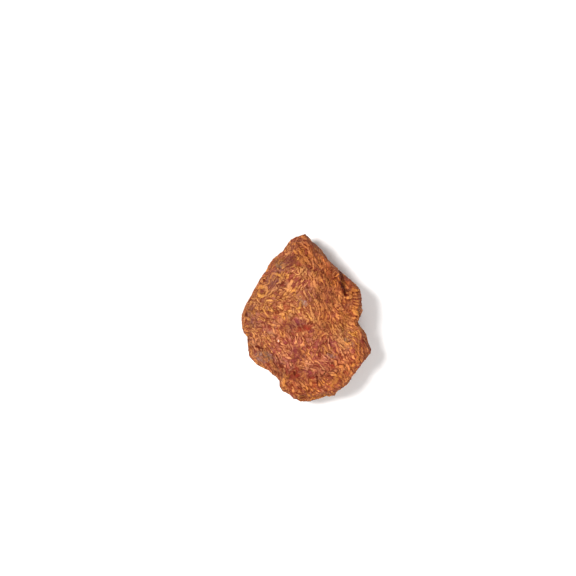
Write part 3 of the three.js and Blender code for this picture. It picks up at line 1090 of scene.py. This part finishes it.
@dataclass(frozen=True)
class JasperFinish:
    """Dull broken jasper: maroon-brown ground, dark and ochre fibres, red and grey patches.

    A patch is a look, its colour and the share of the strokes that it leaves out. The golden and rosy
    casts, in clouds, and the washes, where the mesh says so, multiply the colour in red, green and
    blue; the dim wash is partly a dimmer tone and partly painted shade, and the bright wash partly a
    brighter tone and partly painted light. Stir_reach and bump_height are in millimetres.
    """

    name: str = "calligraphy_jasper"
    layers: tuple[Layer, ...] = MARKINGS
    stir: Noise = Noise(0.3, 1.0, 0.5)
    stir_reach: float = 3.4
    steepness: Point = (0.1, 0.06, 0.6)
    coarseness: Pair = (1.1, 0.88)
    ground_light: Noise = Noise(0.5, 2.0, 0.5)
    ground_band: Pair = (0.36, 0.64)
    fine_light: float = 0.6
    ground_parts: Noise = Noise(0.2, 3.0, 0.6)
    maroon_part: Tint = Tint(MAROON, (0.5, 0.62), (0.0, 0.7))
    mauve_part: Tint = Tint(MAUVE, (0.52, 0.66), (0.0, 0.75))
    olive_part: Tint = Tint(OLIVE, (0.54, 0.68), (0.0, 0.7))
    patches: tuple[tuple[Look, Colour, float], ...] = (
        (Look.MAUVE, MAUVE, 0.15),
        (Look.MAROON, MAROON, 0.6),
        (Look.RED, RED, 0.75),
        (Look.GREY, GREY, 0.3),
    )
    patch_edges: Noise = Noise(1.1, 4.0, 0.75)
    raggedness: float = 2.6
    patch_band: Pair = (1.55, 2.15)
    patch_cover: float = 0.9
    # Painted shade: the hollows of the finest chips are darkened towards the shadow colour
    painted_hollow_shade: Tint = Tint(SHADOW, (0.5, 0.95), (0.0, 0.25))
    # Painted light: the ridges between those chips are lightened towards apricot
    ridges: Tint = Tint(APRICOT, (0.1, 0.4), (0.12, 0.0))
    mottle: Noise = Noise(0.9, 4.0, 0.8)
    dark_spots: Tint = Tint(SHADOW, (0.5, 0.68), (0.0, 0.55))
    pale_spots: Tint = Tint(OCHRE, (0.5, 0.7), (0.0, 0.5))
    hue: Noise = Noise(0.2, 3.0, 0.65)
    golden: Point = (1.03, 1.01, 0.66)
    rosy: Point = (0.97, 0.93, 1.12)
    cast_band: Pair = (0.42, 0.66)
    brightness: Pair = (0.62, 1.42)
    washes: tuple[tuple[Look, Point], ...] = (
        (Look.ROSY_WASH, (1.0, 0.96, 1.28)),
        (Look.RUSTY_WASH, (1.05, 0.9, 0.88)),
        (Look.CLAY_WASH, (0.93, 1.02, 1.1)),
        # The dim wash is partly painted shade and the bright wash partly painted light
        (Look.DIM_TONE_AND_PAINTED_SHADE, (0.7, 0.68, 0.72)),
        (Look.BRIGHT_TONE_AND_PAINTED_LIGHT, (1.2, 1.24, 1.12)),
    )
    gloss: Noise = Noise(1.6, 3.0, 0.6)
    gloss_band: Pair = (0.3, 0.7)
    roughness: Pair = (0.55, 0.85)
    grain: Noise = Noise(1.1, 4.0, 0.5)
    relief: float = 0.3
    bump_strength: float = 0.8
    bump_height: float = 0.4
    ior: float = 1.54
    specular: float = 0.05

    def material(self) -> bpy.types.Material:
        """Build the material: stirred places, ground, markings, tints, then the bump and shader.

        Returns:
            The material.
        """
        made = bpy.data.materials.new(self.name)
        made.use_nodes = True
        made.node_tree.nodes.clear()
        graph = Graph(made.node_tree)
        coat = self.first_coat(graph)
        for layer in self.layers:
            layer.lay(coat)
        gloss = graph.noise(coat.place, self.gloss)
        inputs = {
            "Base Color": self.tinted_and_shaded(coat),
            "Roughness": graph.step(gloss, *self.gloss_band, *self.roughness),
            "Normal": self.bump(coat),
            "IOR": self.ior,
            "Specular IOR Level": self.specular,
        }
        shader = graph.node("ShaderNodeBsdfPrincipled", inputs)
        graph.node("ShaderNodeOutputMaterial", {"Surface": shader.outputs[0]})
        return made

    def first_coat(self, graph: Graph) -> Coat:
        """Work out the places and directions that the markings need, and the ground's colour.

        The way out of the stone is that of a flat, rounded lump about its heart, and steepness says how
        fast such a lump falls away along X, Y and Z.

        Args:
            graph: The material's nodes.

        Returns:
            The coat before any marking.
        """
        place = graph.scaled(graph.node("ShaderNodeTexCoord").outputs["Object"], 1 / MM)
        stir = graph.vector("SUBTRACT", graph.noise(place, self.stir, "Color"), NOISE_MIDDLE)
        stirred = graph.vector("ADD", place, graph.scaled(stir, self.stir_reach))
        heart = (0.0, 0.0, -HEART[2] * self.steepness[2])
        inputs = {"Vector": place, "Location": heart, "Scale": self.steepness}
        outward = graph.vector("NORMALIZE", graph.node("ShaderNodeMapping", inputs).outputs[0])
        coarse = graph.step(graph.attribute(Look.FINE.value), 0.0, 1.0, *self.coarseness)
        grain = graph.attribute("grain", "Vector")
        colour, bare = self.ground(graph, place, stirred)
        return Coat(graph, place, stirred, grain, outward, coarse, bare, colour)

    def ground(self, graph: Graph, place: Socket, stirred: Socket) -> tuple[Socket, Socket]:
        """The colour between the fibres: brown in clouds, with maroon, mauve, olive, red and grey parts.

        Args:
            graph: The material's nodes.
            place: The place in millimetres.
            stirred: The place, stirred by noise.

        Returns:
            The colour, and the share of the strokes that is missing where the mesh says so.
        """
        light = graph.step(graph.noise(stirred, self.ground_light), *self.ground_band)
        fine = graph.times(graph.attribute(Look.FINE.value), self.fine_light)
        colour = graph.mixed(graph.math("MAXIMUM", light, fine), GROUND_DARK, GROUND_LIGHT)
        mauve, olive, maroon = graph.noises(place, self.ground_parts)
        colour = self.maroon_part.over(graph, maroon, colour)
        colour = self.mauve_part.over(graph, mauve, colour)
        colour = self.olive_part.over(graph, olive, colour)
        edges = graph.noise(stirred, self.patch_edges)
        bare = 0.0
        for look, tint, missing in self.patches:
            spread = graph.math("MULTIPLY_ADD", edges, self.raggedness, graph.attribute(look.value))
            share = graph.step(spread, *self.patch_band)
            colour = graph.mixed(graph.times(share, self.patch_cover), colour, tint)
            bare = graph.math("MAXIMUM", bare, graph.times(share, missing))
        return colour, bare

    def tinted_and_shaded(self, coat: Coat) -> Socket:
        """The colour with painted shade in hollows, painted light on ridges, a fine mottle, and drifting
        hue and light.

        Args:
            coat: What is worked out so far.

        Returns:
            The colour as it is seen.
        """
        graph = coat.graph
        hollow = graph.attribute("hollow")
        # Painted shade in the hollows and painted light on the ridges, by the mesh's hollowness
        colour = self.painted_hollow_shade.over(graph, hollow, coat.colour)
        colour = self.ridges.over(graph, hollow, colour)
        dark, pale, _ = graph.noises(coat.place, self.mottle)
        colour = self.dark_spots.over(graph, dark, colour)
        colour = self.pale_spots.over(graph, pale, colour)
        golden, rosy, light = graph.noises(coat.place, self.hue)
        colour = graph.washed(graph.step(golden, *self.cast_band), colour, self.golden)
        colour = graph.washed(graph.step(rosy, *self.cast_band), colour, self.rosy)
        # The washes multiply the colour; the dim and bright ones are partly painted shade and painted
        # light
        for look, wash in self.washes:
            colour = graph.washed(graph.attribute(look.value), colour, wash)
        return graph.scaled(colour, graph.between(light, *self.brightness))

    def bump(self, coat: Coat) -> Socket:
        """Grain finer than the mesh: noise, with the fibres standing slightly proud.

        Args:
            coat: What is worked out so far.

        Returns:
            The way that the surface faces.
        """
        grain = coat.graph.noise(coat.place, self.grain)
        height = coat.graph.math("MULTIPLY_ADD", coat.relief, self.relief, grain)
        inputs = {"Strength": self.bump_strength, "Distance": self.bump_height * MM, "Height": height}
        return coat.graph.node("ShaderNodeBump", inputs).outputs[0]


# The top's own patches, marks and runs of fibre


@dataclass(frozen=True)
class Patch:
    """A stretch of the top with a look of its own: its middle, its half lengths and its turn in degrees.

    Fade holds the shares of its half lengths at which it starts to fade and is gone, and heights the
    heights at which it starts and is whole.
    """

    look: Look
    at: Pair
    half: Pair
    turn: float = 0.0
    strength: float = 1.0
    fade: Pair = (0.4, 1.6)
    heights: Pair = (9.0, 12.0)

    def share(self, points: Array) -> Array:
        """How much of the look each point has: an oval hill, with its edge halfway down.

        Args:
            points: Places, one row each, in millimetres.

        Returns:
            A number from 0 to the patch's strength for each point.
        """
        angle = math.radians(self.turn)
        x, y = points[:, 0] - self.at[0], points[:, 1] - self.at[1]
        along = (x * math.cos(angle) + y * math.sin(angle)) / self.half[0]
        across = (y * math.cos(angle) - x * math.sin(angle)) / self.half[1]
        oval = 1 - smooth_step(np.hypot(along, across), *self.fade)
        return self.strength * oval * smooth_step(points[:, 2], *self.heights)


@dataclass(frozen=True)
class Mark:
    """A larger mark of the top: its ink, its half width and the places that it is drawn through.

    Blunt is the share of the half width that is left at both ends.
    """

    ink: Ink
    half: float
    places: tuple[Pair, ...]
    blunt: float = 0.7

    def edge_distance(self, points: Array) -> Array:
        """Distance to the mark's edge: to its nearest straight piece, less its half width there.

        The half width is a half wave along the mark, added to what is left at both ends.

        Args:
            points: Places seen from above, one row each, in millimetres.

        Returns:
            A distance for each point, negative inside the mark.
        """
        places = np.array(self.places)
        pieces = np.diff(places, axis=0)
        lengths = np.linalg.norm(pieces, axis=1)
        passed = np.concatenate(([0.0], np.cumsum(lengths)))
        nearest = np.full(len(points), np.inf)
        for start, piece, length, before in zip(places, pieces, lengths, passed):
            offset = points - start
            share = np.clip(offset @ piece / length**2, 0, 1)
            gap = np.linalg.norm(offset - share[:, None] * piece, axis=1)
            along = (before + share * length) / passed[-1]
            width = self.blunt + (1 - self.blunt) * np.sin(math.pi * along)
            nearest = np.minimum(nearest, gap - self.half * width)
        return nearest


@dataclass(frozen=True)
class Run:
    """The way that the top's fibres run near a place: an angle from +X, in degrees, seen from above."""

    at: Pair
    angle: float
    strength: float = 1.0


# A middle, half lengths, a turn and a strength for each patch
SPOTS = {
    Look.FINE: (
        ((8.4, 8), (6, 14), -4), ((15, -2), (4, 5), 0, 0.8),
    ),
    Look.RED: (
        ((-1, -3.4), (3.4, 1.3), 8), ((-4.8, -19.4), (3.4, 2.4), 20, 0.7),
        ((2.4, -22), (1.2, 3), 20, 0.7), ((9.4, -17), (1.4, 0.9), -40, 0.7),
        ((6.4, -28.4), (2.6, 0.8), -8, 0.8),
    ),
    Look.MAROON: (
        ((-4.6, -1.6), (5, 2), 8), ((10.5, -21.6), (3, 2.6), 40), ((-3, -20.4), (4, 2.4), 0, 0.8),
        ((-3.6, -12.6), (2, 3), -20), ((9.6, -9), (1.6, 1.6), 0, 0.8), ((4, -9.6), (1.2, 2.4), -10, 0.8),
        ((-5.6, 20.4), (2.4, 3.2), -30, 0.9), ((-12.4, 18.4), (2, 3.4), -35, 0.7),
        ((17.9, 6.5), (1.7, 2.8), 0),
    ),
    Look.MAUVE: (
        ((-12.4, 14.4), (3, 6), -38, 0.8), ((14.4, 14.7), (1.2, 1.4), -50),
        ((-19, 0.6), (2.6, 4.6), 0, 0.7),
    ),
    Look.GREY: (
        ((-15.2, -13.8), (3.4, 2.2), -10), ((-1.2, 5.6), (1.8, 1.2), -20, 0.7),
        ((14.6, -8.8), (2.4, 1.6), -30, 0.9), ((8.6, -13), (1.8, 1), -20, 0.85),
        ((-9.4, 19.2), (1.8, 1.4), 0, 0.8),
    ),
    Look.ROSY_WASH: (
        ((-1, -13), (15, 8), 0), ((-4, -2.6), (5, 3), 0), ((0, 7), (7, 3), 0, 0.6),
        ((-10.4, 11), (3, 4), 0, 0.7),
    ),
    Look.RUSTY_WASH: (
        ((10, 17), (5, 9), 32), ((1, 25), (5, 6), 0), ((7, 6), (4, 9), 0, 0.7), ((15, 12), (4, 5), 0),
        ((16, 4), (4, 8), 0, 0.6), ((17, -16), (6, 8), -30, 0.9), ((2, -25), (9, 4), 0, 0.8),
    ),
    Look.CLAY_WASH: (
        ((-6, 15), (6, 9), -20, 0.9), ((-14, -4), (6, 9), 0, 0.5), ((-1, 5), (7, 8), 0),
        ((-13.4, 6.4), (6, 4), 0), ((13.6, -6.2), (4, 5), 0, 0.9), ((-10.4, -13), (2.6, 3), 0, 0.7),
    ),
    # Darker patches, partly a dimmer tone and partly painted shade: the tip, hollows and dark corners
    Look.DIM_TONE_AND_PAINTED_SHADE: (
        ((0, 25.4), (5, 4), 0), ((-5.6, 20.4), (2.4, 3), -30), ((-9.4, 19.2), (2.4, 1.8), 0),
        ((-12.4, 14.4), (2, 4), -38, 0.5), ((-19, 0.6), (2.4, 4), 0, 0.6),
        ((-3.6, -12.6), (2, 3), -20, 0.7), ((-15.2, -13.4), (3.6, 2.6), -20, 1),
        ((6.8, 8.4), (4.4, 5.6), 0, 0.65), ((0.5, 19), (2.6, 5), 0, 0.6),
        ((-20.4, -8.4), (2.4, 3), 0, 0.7), ((5, -3.2), (3.4, 2.4), 0, 0.4),
        ((5, -18.6), (2.6, 2.6), 0, 0.4), ((-4.8, -2.6), (4, 2), 8), ((-10.4, 12), (2.4, 3), 0, 0.6),
        ((1, -21.6), (4, 2.4), 0, 0.4), ((-4, -19.8), (4.4, 2.4), 10), ((-1.2, 5.6), (1.8, 1.4), -20),
        ((-6, 17.6), (3, 2), -30, 0.4), ((0, 8), (3, 3), 0, 0.4), ((16, 7.6), (2.6, 2.4), 0, 0.5),
        ((20.6, -13), (2, 3), 0, 0.9), ((-15, 12), (2, 3), -30, 0.4),
    ),
    # Paler patches, partly a brighter tone and partly painted light
    Look.BRIGHT_TONE_AND_PAINTED_LIGHT: (
        ((-4.2, 2.4), (7, 4), 10), ((-4.4, 8), (3, 3), 0, 0.6), ((-5.4, 16.6), (3, 2.4), 0),
        ((-9, -4.4), (4, 3), 0, 0.5), ((17, -4.4), (3, 3), 0, 0.6), ((-10, -12.6), (2, 2.4), 0, 0.5),
        ((16.4, 1), (2.4, 3), 0, 0.6), ((12.6, -9.6), (2.6, 2.6), 0, 0.4), ((6, 21.6), (2.6, 5), 32),
        ((13.6, 15), (2, 3.4), 40, 0.7), ((16.4, -16.4), (3, 6), -36, 0.8), ((8, -25), (4, 2), 20, 0.7),
        ((-1, -12.6), (4, 2.4), 0, 0.4),
    ),
}
PATCHES = tuple(Patch(look, *row) for look, rows in SPOTS.items() for row in rows)

# A half width and the places that it is drawn through for each mark
STROKES = {
    Ink.OCHRE: (
        (0.65, (-1.4, 29.7), (0, 28.6)), (0.45, (-2.9, 25.2), (-1.9, 23.6), (-1.1, 22.4), (0, 20.3)),
        (0.4, (-4.6, 24.6), (-3.4, 22.8)), (0.4, (0.4, 25.6), (1.2, 23.6), (2.4, 22.4)),
        (0.47, (-7.2, 23.2), (-5.8, 23.2)), (0.5, (-12.9, 14.5), (-12, 16.3), (-9.8, 15.6), (-8.3, 13.6)),
        (0.62, (-4.9, 13.4), (-6, 11.8), (-6.8, 9.8)), (0.34, (-9.6, 10.3), (-8, 9.6)),
        (0.75, (-18, 10.6), (-16.4, 11.6), (-14.6, 11.2), (-14, 9.6)),
        (0.6, (-14, 9.6), (-14.6, 8.2), (-16.2, 7.8), (-17.4, 8.8)),
        (0.5, (2.5, 14.1), (2.9, 11.9), (3.6, 10.1), (5.1, 9.4)),
        (0.4, (12.3, 13.6), (13.6, 12.4), (15.2, 10.6)), (0.62, (16.3, 9.9), (18.6, 10)),
        (0.4, (1.1, 4.7), (2.2, 1.1), (3.3, -2.5)), (0.25, (4.3, 5.4), (4.7, -2.5)),
        (0.25, (5.8, 5.8), (5.8, -2.2)), (0.54, (-3.3, 3.6), (-2.2, 4)), (0.58, (11.9, 3.6), (13, 3.3)),
        (1, (17, 2.8), (18.4, 1.6)), (0.65, (-9.4, 1.4), (-8, 1.4)), (0.36, (-22.4, 0.4), (-22.4, -1.4)),
        (0.36, (-13.4, -1.8), (-11.2, -2.2), (-9.4, -2.5)), (0.25, (-12.3, -2.9), (-10.9, -5.8)),
        (0.29, (-9.8, -4), (-8.7, -6.2)), (0.25, (-7.6, -3.6), (-8, -7.2)),
        (0.36, (5.8, -5.8), (7.2, -5.1), (8.7, -6.2), (9.4, -7.6)),
        (0.43, (10.1, -6.5), (12.3, -8.3), (14.5, -10.1)),
        (0.25, (11.6, -6.5), (13.4, -8.3), (15.9, -9.8)),
        (0.29, (-18.1, -8.7), (-18.1, -7.2), (-16.7, -6.9), (-16.3, -8.3), (-17.4, -9.4)),
        (0.51, (-8.3, -13), (-7.2, -13)), (0.4, (-6.5, -13.8), (-5.4, -14.1)),
        (0.29, (-2.2, -10.9), (0, -12.7), (2.5, -15.6)),
        (0.51, (12.7, -15.2), (14.5, -17), (15.9, -18.8)),
        (0.43, (8, -19.2), (9.8, -19.2), (10.9, -20.6)), (0.9, (-8.2, -21.8), (-8.4, -24.4)),
        (0.47, (1.4, -22.4), (1.8, -23.9)), (0.4, (-3.8, -27.2), (-1.6, -28.4)),
        (0.51, (0.7, -27.1), (1.8, -29)),
    ),
    Ink.PALE: (
        (0.29, (-2.5, 27.5), (-1.1, 26.1), (0.7, 24.6)), (0.22, (4, 26.1), (4, 23.9)),
        (0.22, (2.5, 23.2), (2.2, 21), (2.2, 18.8)), (0.22, (-5.4, 17.7), (-4.7, 17), (-5.4, 16.3)),
        (0.25, (-7.2, 15.9), (-6.2, 15.2)), (0.3, (13.2, 16.4), (14, 15.2)),
        (0.18, (4.3, 11.2), (5.4, 11.6), (5.8, 10.5)), (0.29, (-1.1, 9.8), (0.4, 7.2)),
        (0.22, (16.6, 8.5), (19, 8.9)), (0.2, (16.4, 7.5), (19.2, 7.5)), (0.2, (16.6, 6.5), (19.2, 6.3)),
        (0.2, (16.6, 5.6), (19.2, 5)), (0.2, (16.8, 4.6), (18.8, 3.8)),
        (0.22, (-20.6, 4.3), (-19.9, 5.8), (-18.5, 5.8), (-17.7, 4.3)),
        (0.22, (-21.7, 4.3), (-20.6, 6.9), (-18.1, 7.2), (-16.3, 5.1)),
        (0.29, (-15.6, 3.3), (-14.5, 1.8), (-13.4, 0.4)), (0.25, (-4.7, 3.6), (-4.3, 1.8)),
        (0.29, (9, 3.3), (10.1, 2.2)), (0.22, (10.9, -1.4), (11.6, -3.3), (13.4, -4)),
        (0.22, (9.8, -1.4), (10.9, -4), (13, -5.1)),
        (0.22, (7.6, -6.9), (8, -9), (8.3, -10.9), (9.8, -11.9)),
        (0.18, (2.2, -8.3), (1.8, -10.1), (2.5, -11.9)), (0.18, (4.3, -8.3), (4.7, -10.5), (3.6, -12.3)),
        (0.22, (-9.4, -9.4), (-8, -11.2), (-6.5, -13)),
        (0.18, (-7.2, -9.8), (-5.8, -11.6), (-4.7, -13.4)),
        (0.22, (-20.3, -8.7), (-18.8, -9.8), (-18.1, -11.6)), (0.22, (5.1, -12.3), (7.2, -14.5)),
        (0.22, (6.9, -12.3), (9.4, -15.2)), (0.25, (-2.9, -15.2), (-0.7, -15.6), (2.2, -16.3)),
        (0.22, (-2.5, -16.7), (0, -17.4), (1.8, -17.7)), (0.22, (-6.2, -18.5), (-4.7, -17.4)),
        (0.34, (8.4, -19.4), (9.4, -20.2), (10.6, -19.8)),
    ),
    Ink.MAROON: (
        (0.58, (-5.1, 21), (-5.1, 19.5)), (0.43, (-10.9, 15.2), (-10.1, 14.5)),
        (0.8, (-4.7, 12.7), (-4.7, 10.9)), (0.85, (-16, 9.8), (-15.7, 9.5)),
        (0.6, (13.9, 15.4), (14.8, 14)), (0.65, (-14.1, 2.5), (-13.8, 1.8)),
        (1.16, (-4.7, -1.1), (-3.3, -1.8)), (0.22, (-18.1, -1.1), (-13.8, -1.4)),
        (0.22, (-17.7, -2.9), (-13.8, -3.3)), (0.87, (9.4, -8.3), (9.8, -9.8)),
        (0.65, (3.3, -9), (3.3, -11.2)), (0.72, (-4.3, -10.9), (-3.3, -13.8)),
        (0.91, (0.4, -19.2), (1.4, -19.9)),
    ),
    # Painted shade in pits, fissures, notches, a groove and the shelf's recess
    Ink.PIT_SHADE: (
        (0.33, (5.4, 19.9), (5.4, 19.2)), (0.7, (12.5, 16.9), (12.7, 14.4)),
        (0.6, (12, 13), (12.8, 11), (13.9, 8.2)), (0.4, (17.7, 0.9), (18.1, 0.6)),
        (0.33, (-21.7, 2.2), (-21.7, 0.7)), (0.36, (-18.1, -10.1), (-15.6, -10.9)),
        (0.22, (-12.3, -13), (-11.6, -15.6), (-10.1, -18.1)),
        (0.22, (-10.5, -13), (-9.8, -15.6), (-9, -17.7)), (0.65, (-11.2, -19.2), (-10.9, -19.9)),
        (0.51, (-4.3, -19.2), (-4.3, -19.9)), (0.25, (3.3, -19.2), (4, -22.4)),
    ),
    # Painted highlights: where the glints are drawn
    Ink.GLINT: (
        (0.3, (-5.8, 6.5), (-5.4, 6.6)), (0.25, (-12.3, 1.1), (-12, 0.9)),
        (0.28, (-10, -8.3), (-9.9, -7.6)), (0.28, (-1.4, -24.3), (-1.2, -24.5)),
        (0.3, (15.2, -9.2), (15.8, -9.3)),
    ),
}
MARKS = tuple(Mark(ink, half, places) for ink, rows in STROKES.items() for half, *places in rows)

# How the fibres run over the top, from the tip down: a place, an angle and a strength
RUNS = tuple(Run(*row) for row in (
    ((-2, 28), 75, 0.6), ((-1.5, 24), 125, 0.7), ((3.5, 25), 100, 0.7), ((-6.5, 22), 60, 0.3),
    ((2.5, 20), 95, 0.8), ((8, 18), 90, 0.8), ((-13, 15), 50, 0.8), ((-6, 12), 55, 0.8), ((6, 11), 92, 1),
    ((11, 8), 90, 1), ((17, 8), 8, 0.8), ((-17, 6), 60, 0.5), ((-9, 4), 120, 0.4), ((3.5, 2), 110, 1),
    ((8, 2), 88, 1), ((13, -1), 130, 0.9), ((18, -2), 165, 0.6), ((-18, -2), 165, 0.9),
    ((-10, -5), 120, 0.7), ((-4, -4), 160, 0.6), ((0, -3.5), 150, 0.7), ((7.5, -8), 85, 0.9),
    ((13, -8), 130, 1), ((19, -8), 110, 0.7), ((-17, -10), 100, 0.4), ((-9, -11), 125, 0.9),
    ((-2.5, -12), 110, 0.8), ((1, -13.5), 132, 1), ((10, -17), 122, 1), ((15, -18), 128, 1),
    ((-12, -16), 95, 0.9), ((0.5, -16.8), 175, 0.7), ((3.5, -22), 120, 0.8), ((-6, -24), 100, 0.4),
    ((2, -28), 160, 0.5),
))


# The stone, the stage and the camera


@dataclass(frozen=True)
class Stone:
    """The whole stone: one broken lump with a fine skin, fitted to the solid's own box.

    Marks waver about their places and end at their lowest height, and farther from a mark than
    farthest_edge all places are alike. Runs blur into each other and set in between two heights.
    """

    node: str = "jasper_stone"
    name: str = "jasper_rough"
    step: float = 0.34
    skin: Skin = Skin()
    patches: tuple[Patch, ...] = PATCHES
    marks: tuple[Mark, ...] = MARKS
    lowest_mark: float = 10.0
    mark_waver: float = 0.3
    mark_wave: float = 1.8
    mark_salts: tuple[int, int] = (61, 62)
    farthest_edge: float = 2.0
    runs: tuple[Run, ...] = RUNS
    run_blur: float = 3.4
    run_heights: Pair = (8.0, 12.0)
    finish: JasperFinish = JasperFinish()

    def build(self) -> bpy.types.Object:
        """Make the mesh: the skin's point in the direction of every point of a box's grid.

        Returns:
            The stone's object, in place of the solid.
        """
        low, high = (np.array(corner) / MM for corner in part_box(self.node))
        size = high - low
        grid, squares = box_grid(size, self.step)
        points = self.skin.points(grid / np.linalg.norm(grid, axis=1, keepdims=True))
        spread = points.max(axis=0) - points.min(axis=0)
        points = (points - points.min(axis=0)) * (size / spread) + low
        stone = mesh_object(self.name, points * MM, squares)
        self.keep_pattern(stone, points)
        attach(stone, "root")
        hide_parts(self.node)
        return stone

    def keep_pattern(self, stone: bpy.types.Object, points: Array) -> None:
        """Hold on the mesh what the finish reads: looks, distances to marks, hollowness and grain.

        Args:
            stone: The stone's object.
            points: Its points in millimetres, one row each.
        """
        for look in Look:
            shares = [patch.share(points) for patch in self.patches if patch.look is look]
            keep_values(stone, look.value, np.max(shares, axis=0))
        waver = np.stack([drift(points, self.mark_wave, salt) for salt in self.mark_salts], axis=1)
        above = points[:, :2] + self.mark_waver * waver
        for ink in Ink:
            edge = np.min([mark.edge_distance(above) for mark in self.marks if mark.ink is ink], axis=0)
            edge = edge + np.maximum(self.lowest_mark - points[:, 2], 0)
            keep_values(stone, ink.value, np.clip(edge, -self.farthest_edge, self.farthest_edge))
        # Hollowness, which the finish turns into painted shade in hollows and painted light on ridges
        keep_values(stone, "hollow", self.skin.hollowness(points))
        keep_values(stone, "grain", self.grain(points))

    def grain(self, points: Array) -> Array:
        """Blend the runs into one direction for each point, across the fibres and level.

        Each run weighs in by a bell curve of its distance. The angles are doubled before they are
        summed, so that a run and its reverse count as the same way, and halved after.

        Args:
            points: Places, one row each, in millimetres.

        Returns:
            A vector for each point: 1 long where all near runs agree, and 0 far from the top.
        """
        cosine, sine, weights = (np.zeros(len(points)) for _ in range(3))
        for run in self.runs:
            gap = radius_of(points[:, :2] - run.at)
            weight = np.exp(-0.5 * (gap / self.run_blur) ** 2) + TINY
            double = math.radians(2 * run.angle)
            cosine += run.strength * weight * math.cos(double)
            sine += run.strength * weight * math.sin(double)
            weights += weight
        angle = np.arctan2(sine, cosine) / 2
        angle = np.where(angle < 0, angle + math.pi, angle)
        strength = np.hypot(cosine, sine) / weights * smooth_step(points[:, 2], *self.run_heights)
        across = np.stack([-np.sin(angle), np.cos(angle), np.zeros(len(points))], axis=1)
        return across * strength[:, None]

    def dress(self, stone: bpy.types.Object) -> None:
        """Give the stone its finish."""
        stone.data.materials.append(self.finish.material())


@dataclass(frozen=True)
class Lamp:
    """A soft, square area light: where it stands, what it points at, its side and its power."""

    name: str
    at: Point
    aim: Point
    side: float
    power: float

    def build(self) -> None:
        """Place the light and turn it to its aim."""
        data = bpy.data.lights.new(self.name, "AREA")
        data.shape = "SQUARE"
        data.size = self.side
        data.energy = self.power
        lamp = bpy.data.objects.new(self.name, data)
        lamp.location = self.at
        lamp.rotation_euler = (Vector(self.aim) - Vector(self.at)).to_track_quat("-Z", "Y").to_euler()
        bpy.context.scene.collection.objects.link(lamp)


@dataclass(frozen=True)
class Studio:
    """A plain pale floor, soft light from the upper left with a wide fill, and the surrounding glow.

    The camera sees the surroundings as a white backdrop, which the floor runs into without a line.
    """

    floor_side: float = 0.9
    floor_colour: Colour = (0.86, 0.85, 0.84, 1.0)
    floor_roughness: float = 0.9
    glow: float = 0.4
    backdrop: float = 1.0
    lamps: tuple[Lamp, ...] = (
        Lamp("key", (-0.36, 0.12, 0.66), (0.0, 0.0, 0.01), 0.2, 7.15),
        Lamp("fill", (0.3, -0.5, 0.6), (0.0, 0.0, 0.01), 0.6, 4.1),
    )

    def build_floor(self) -> bpy.types.Object:
        """Lay the floor at the resting face's height.

        Returns:
            The floor's object.
        """
        half = self.floor_side / 2
        corners = np.array([(-half, -half, 0), (half, -half, 0), (half, half, 0), (-half, half, 0)])
        floor = mesh_object("floor", corners, np.array([[0, 1, 2, 3]]))
        paper = bpy.data.materials.new("pale_floor")
        paper.use_nodes = True
        shader = paper.node_tree.nodes["Principled BSDF"]
        shader.inputs["Base Color"].default_value = self.floor_colour
        shader.inputs["Roughness"].default_value = self.floor_roughness
        floor.data.materials.append(paper)
        return floor

    def build_light(self) -> None:
        """Place every lamp, set the surrounding glow and keep colours as they are."""
        for lamp in self.lamps:
            lamp.build()
        world = bpy.data.worlds.new("glow")
        world.use_nodes = True
        background = world.node_tree.nodes["Background"]
        background.inputs["Color"].default_value = (1.0, 1.0, 1.0, 1.0)
        graph = Graph(world.node_tree)
        seen = graph.node("ShaderNodeLightPath").outputs["Is Camera Ray"]
        strength = graph.between(seen, self.glow, self.backdrop)
        world.node_tree.links.new(strength, background.inputs["Strength"])
        bpy.context.scene.world = world
        bpy.context.scene.view_settings.view_transform = "Standard"


@dataclass(frozen=True)
class View:
    """The photograph's view: straight down, +Y at its top, with the stone low and right of centre."""

    pixels: int = 576
    pixel_size: float = 0.362
    stone_middle: Pair = (306.0, 318.0)
    lens: float = 85.0
    sensor: float = 36.0
    subject_height: float = 10.0

    def build(self) -> bpy.types.Object:
        """Place the camera over the picture's middle, as high as the lens needs for its width.

        The picture's width at the subject's height is its pixels times their size, and the
        distance is that width times the lens over the sensor.

        Returns:
            The camera.
        """
        data = bpy.data.cameras.new("camera")
        data.lens = self.lens
        data.sensor_width = self.sensor
        camera = bpy.data.objects.new("camera", data)
        middle = self.pixels / 2
        x = (middle - self.stone_middle[0]) * self.pixel_size
        y = (self.stone_middle[1] - middle) * self.pixel_size
        distance = self.pixels * self.pixel_size * self.lens / self.sensor
        camera.location = Vector((x, y, self.subject_height + distance)) * MM
        bpy.context.scene.collection.objects.link(camera)
        bpy.context.scene.camera = camera
        return camera


def main() -> None:
    """Build the stone, the stage and the camera, and note the stone's points and faces, the lamps and
    where the camera stands.
    """
    logging.basicConfig(level=logging.INFO, format="%(name)s: %(message)s")
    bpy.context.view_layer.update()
    maker = Stone()
    stone = maker.build()
    maker.dress(stone)
    log.info("%s: %d points, %d faces", stone.name, len(stone.data.vertices), len(stone.data.polygons))
    studio = Studio()
    floor = studio.build_floor()
    studio.build_light()
    log.info("%s and %d lamps", floor.name, len(studio.lamps))
    camera = View().build()
    log.info("%s at %s", camera.name, tuple(round(value, 3) for value in camera.location))


if __name__ == "__main__":
    main()
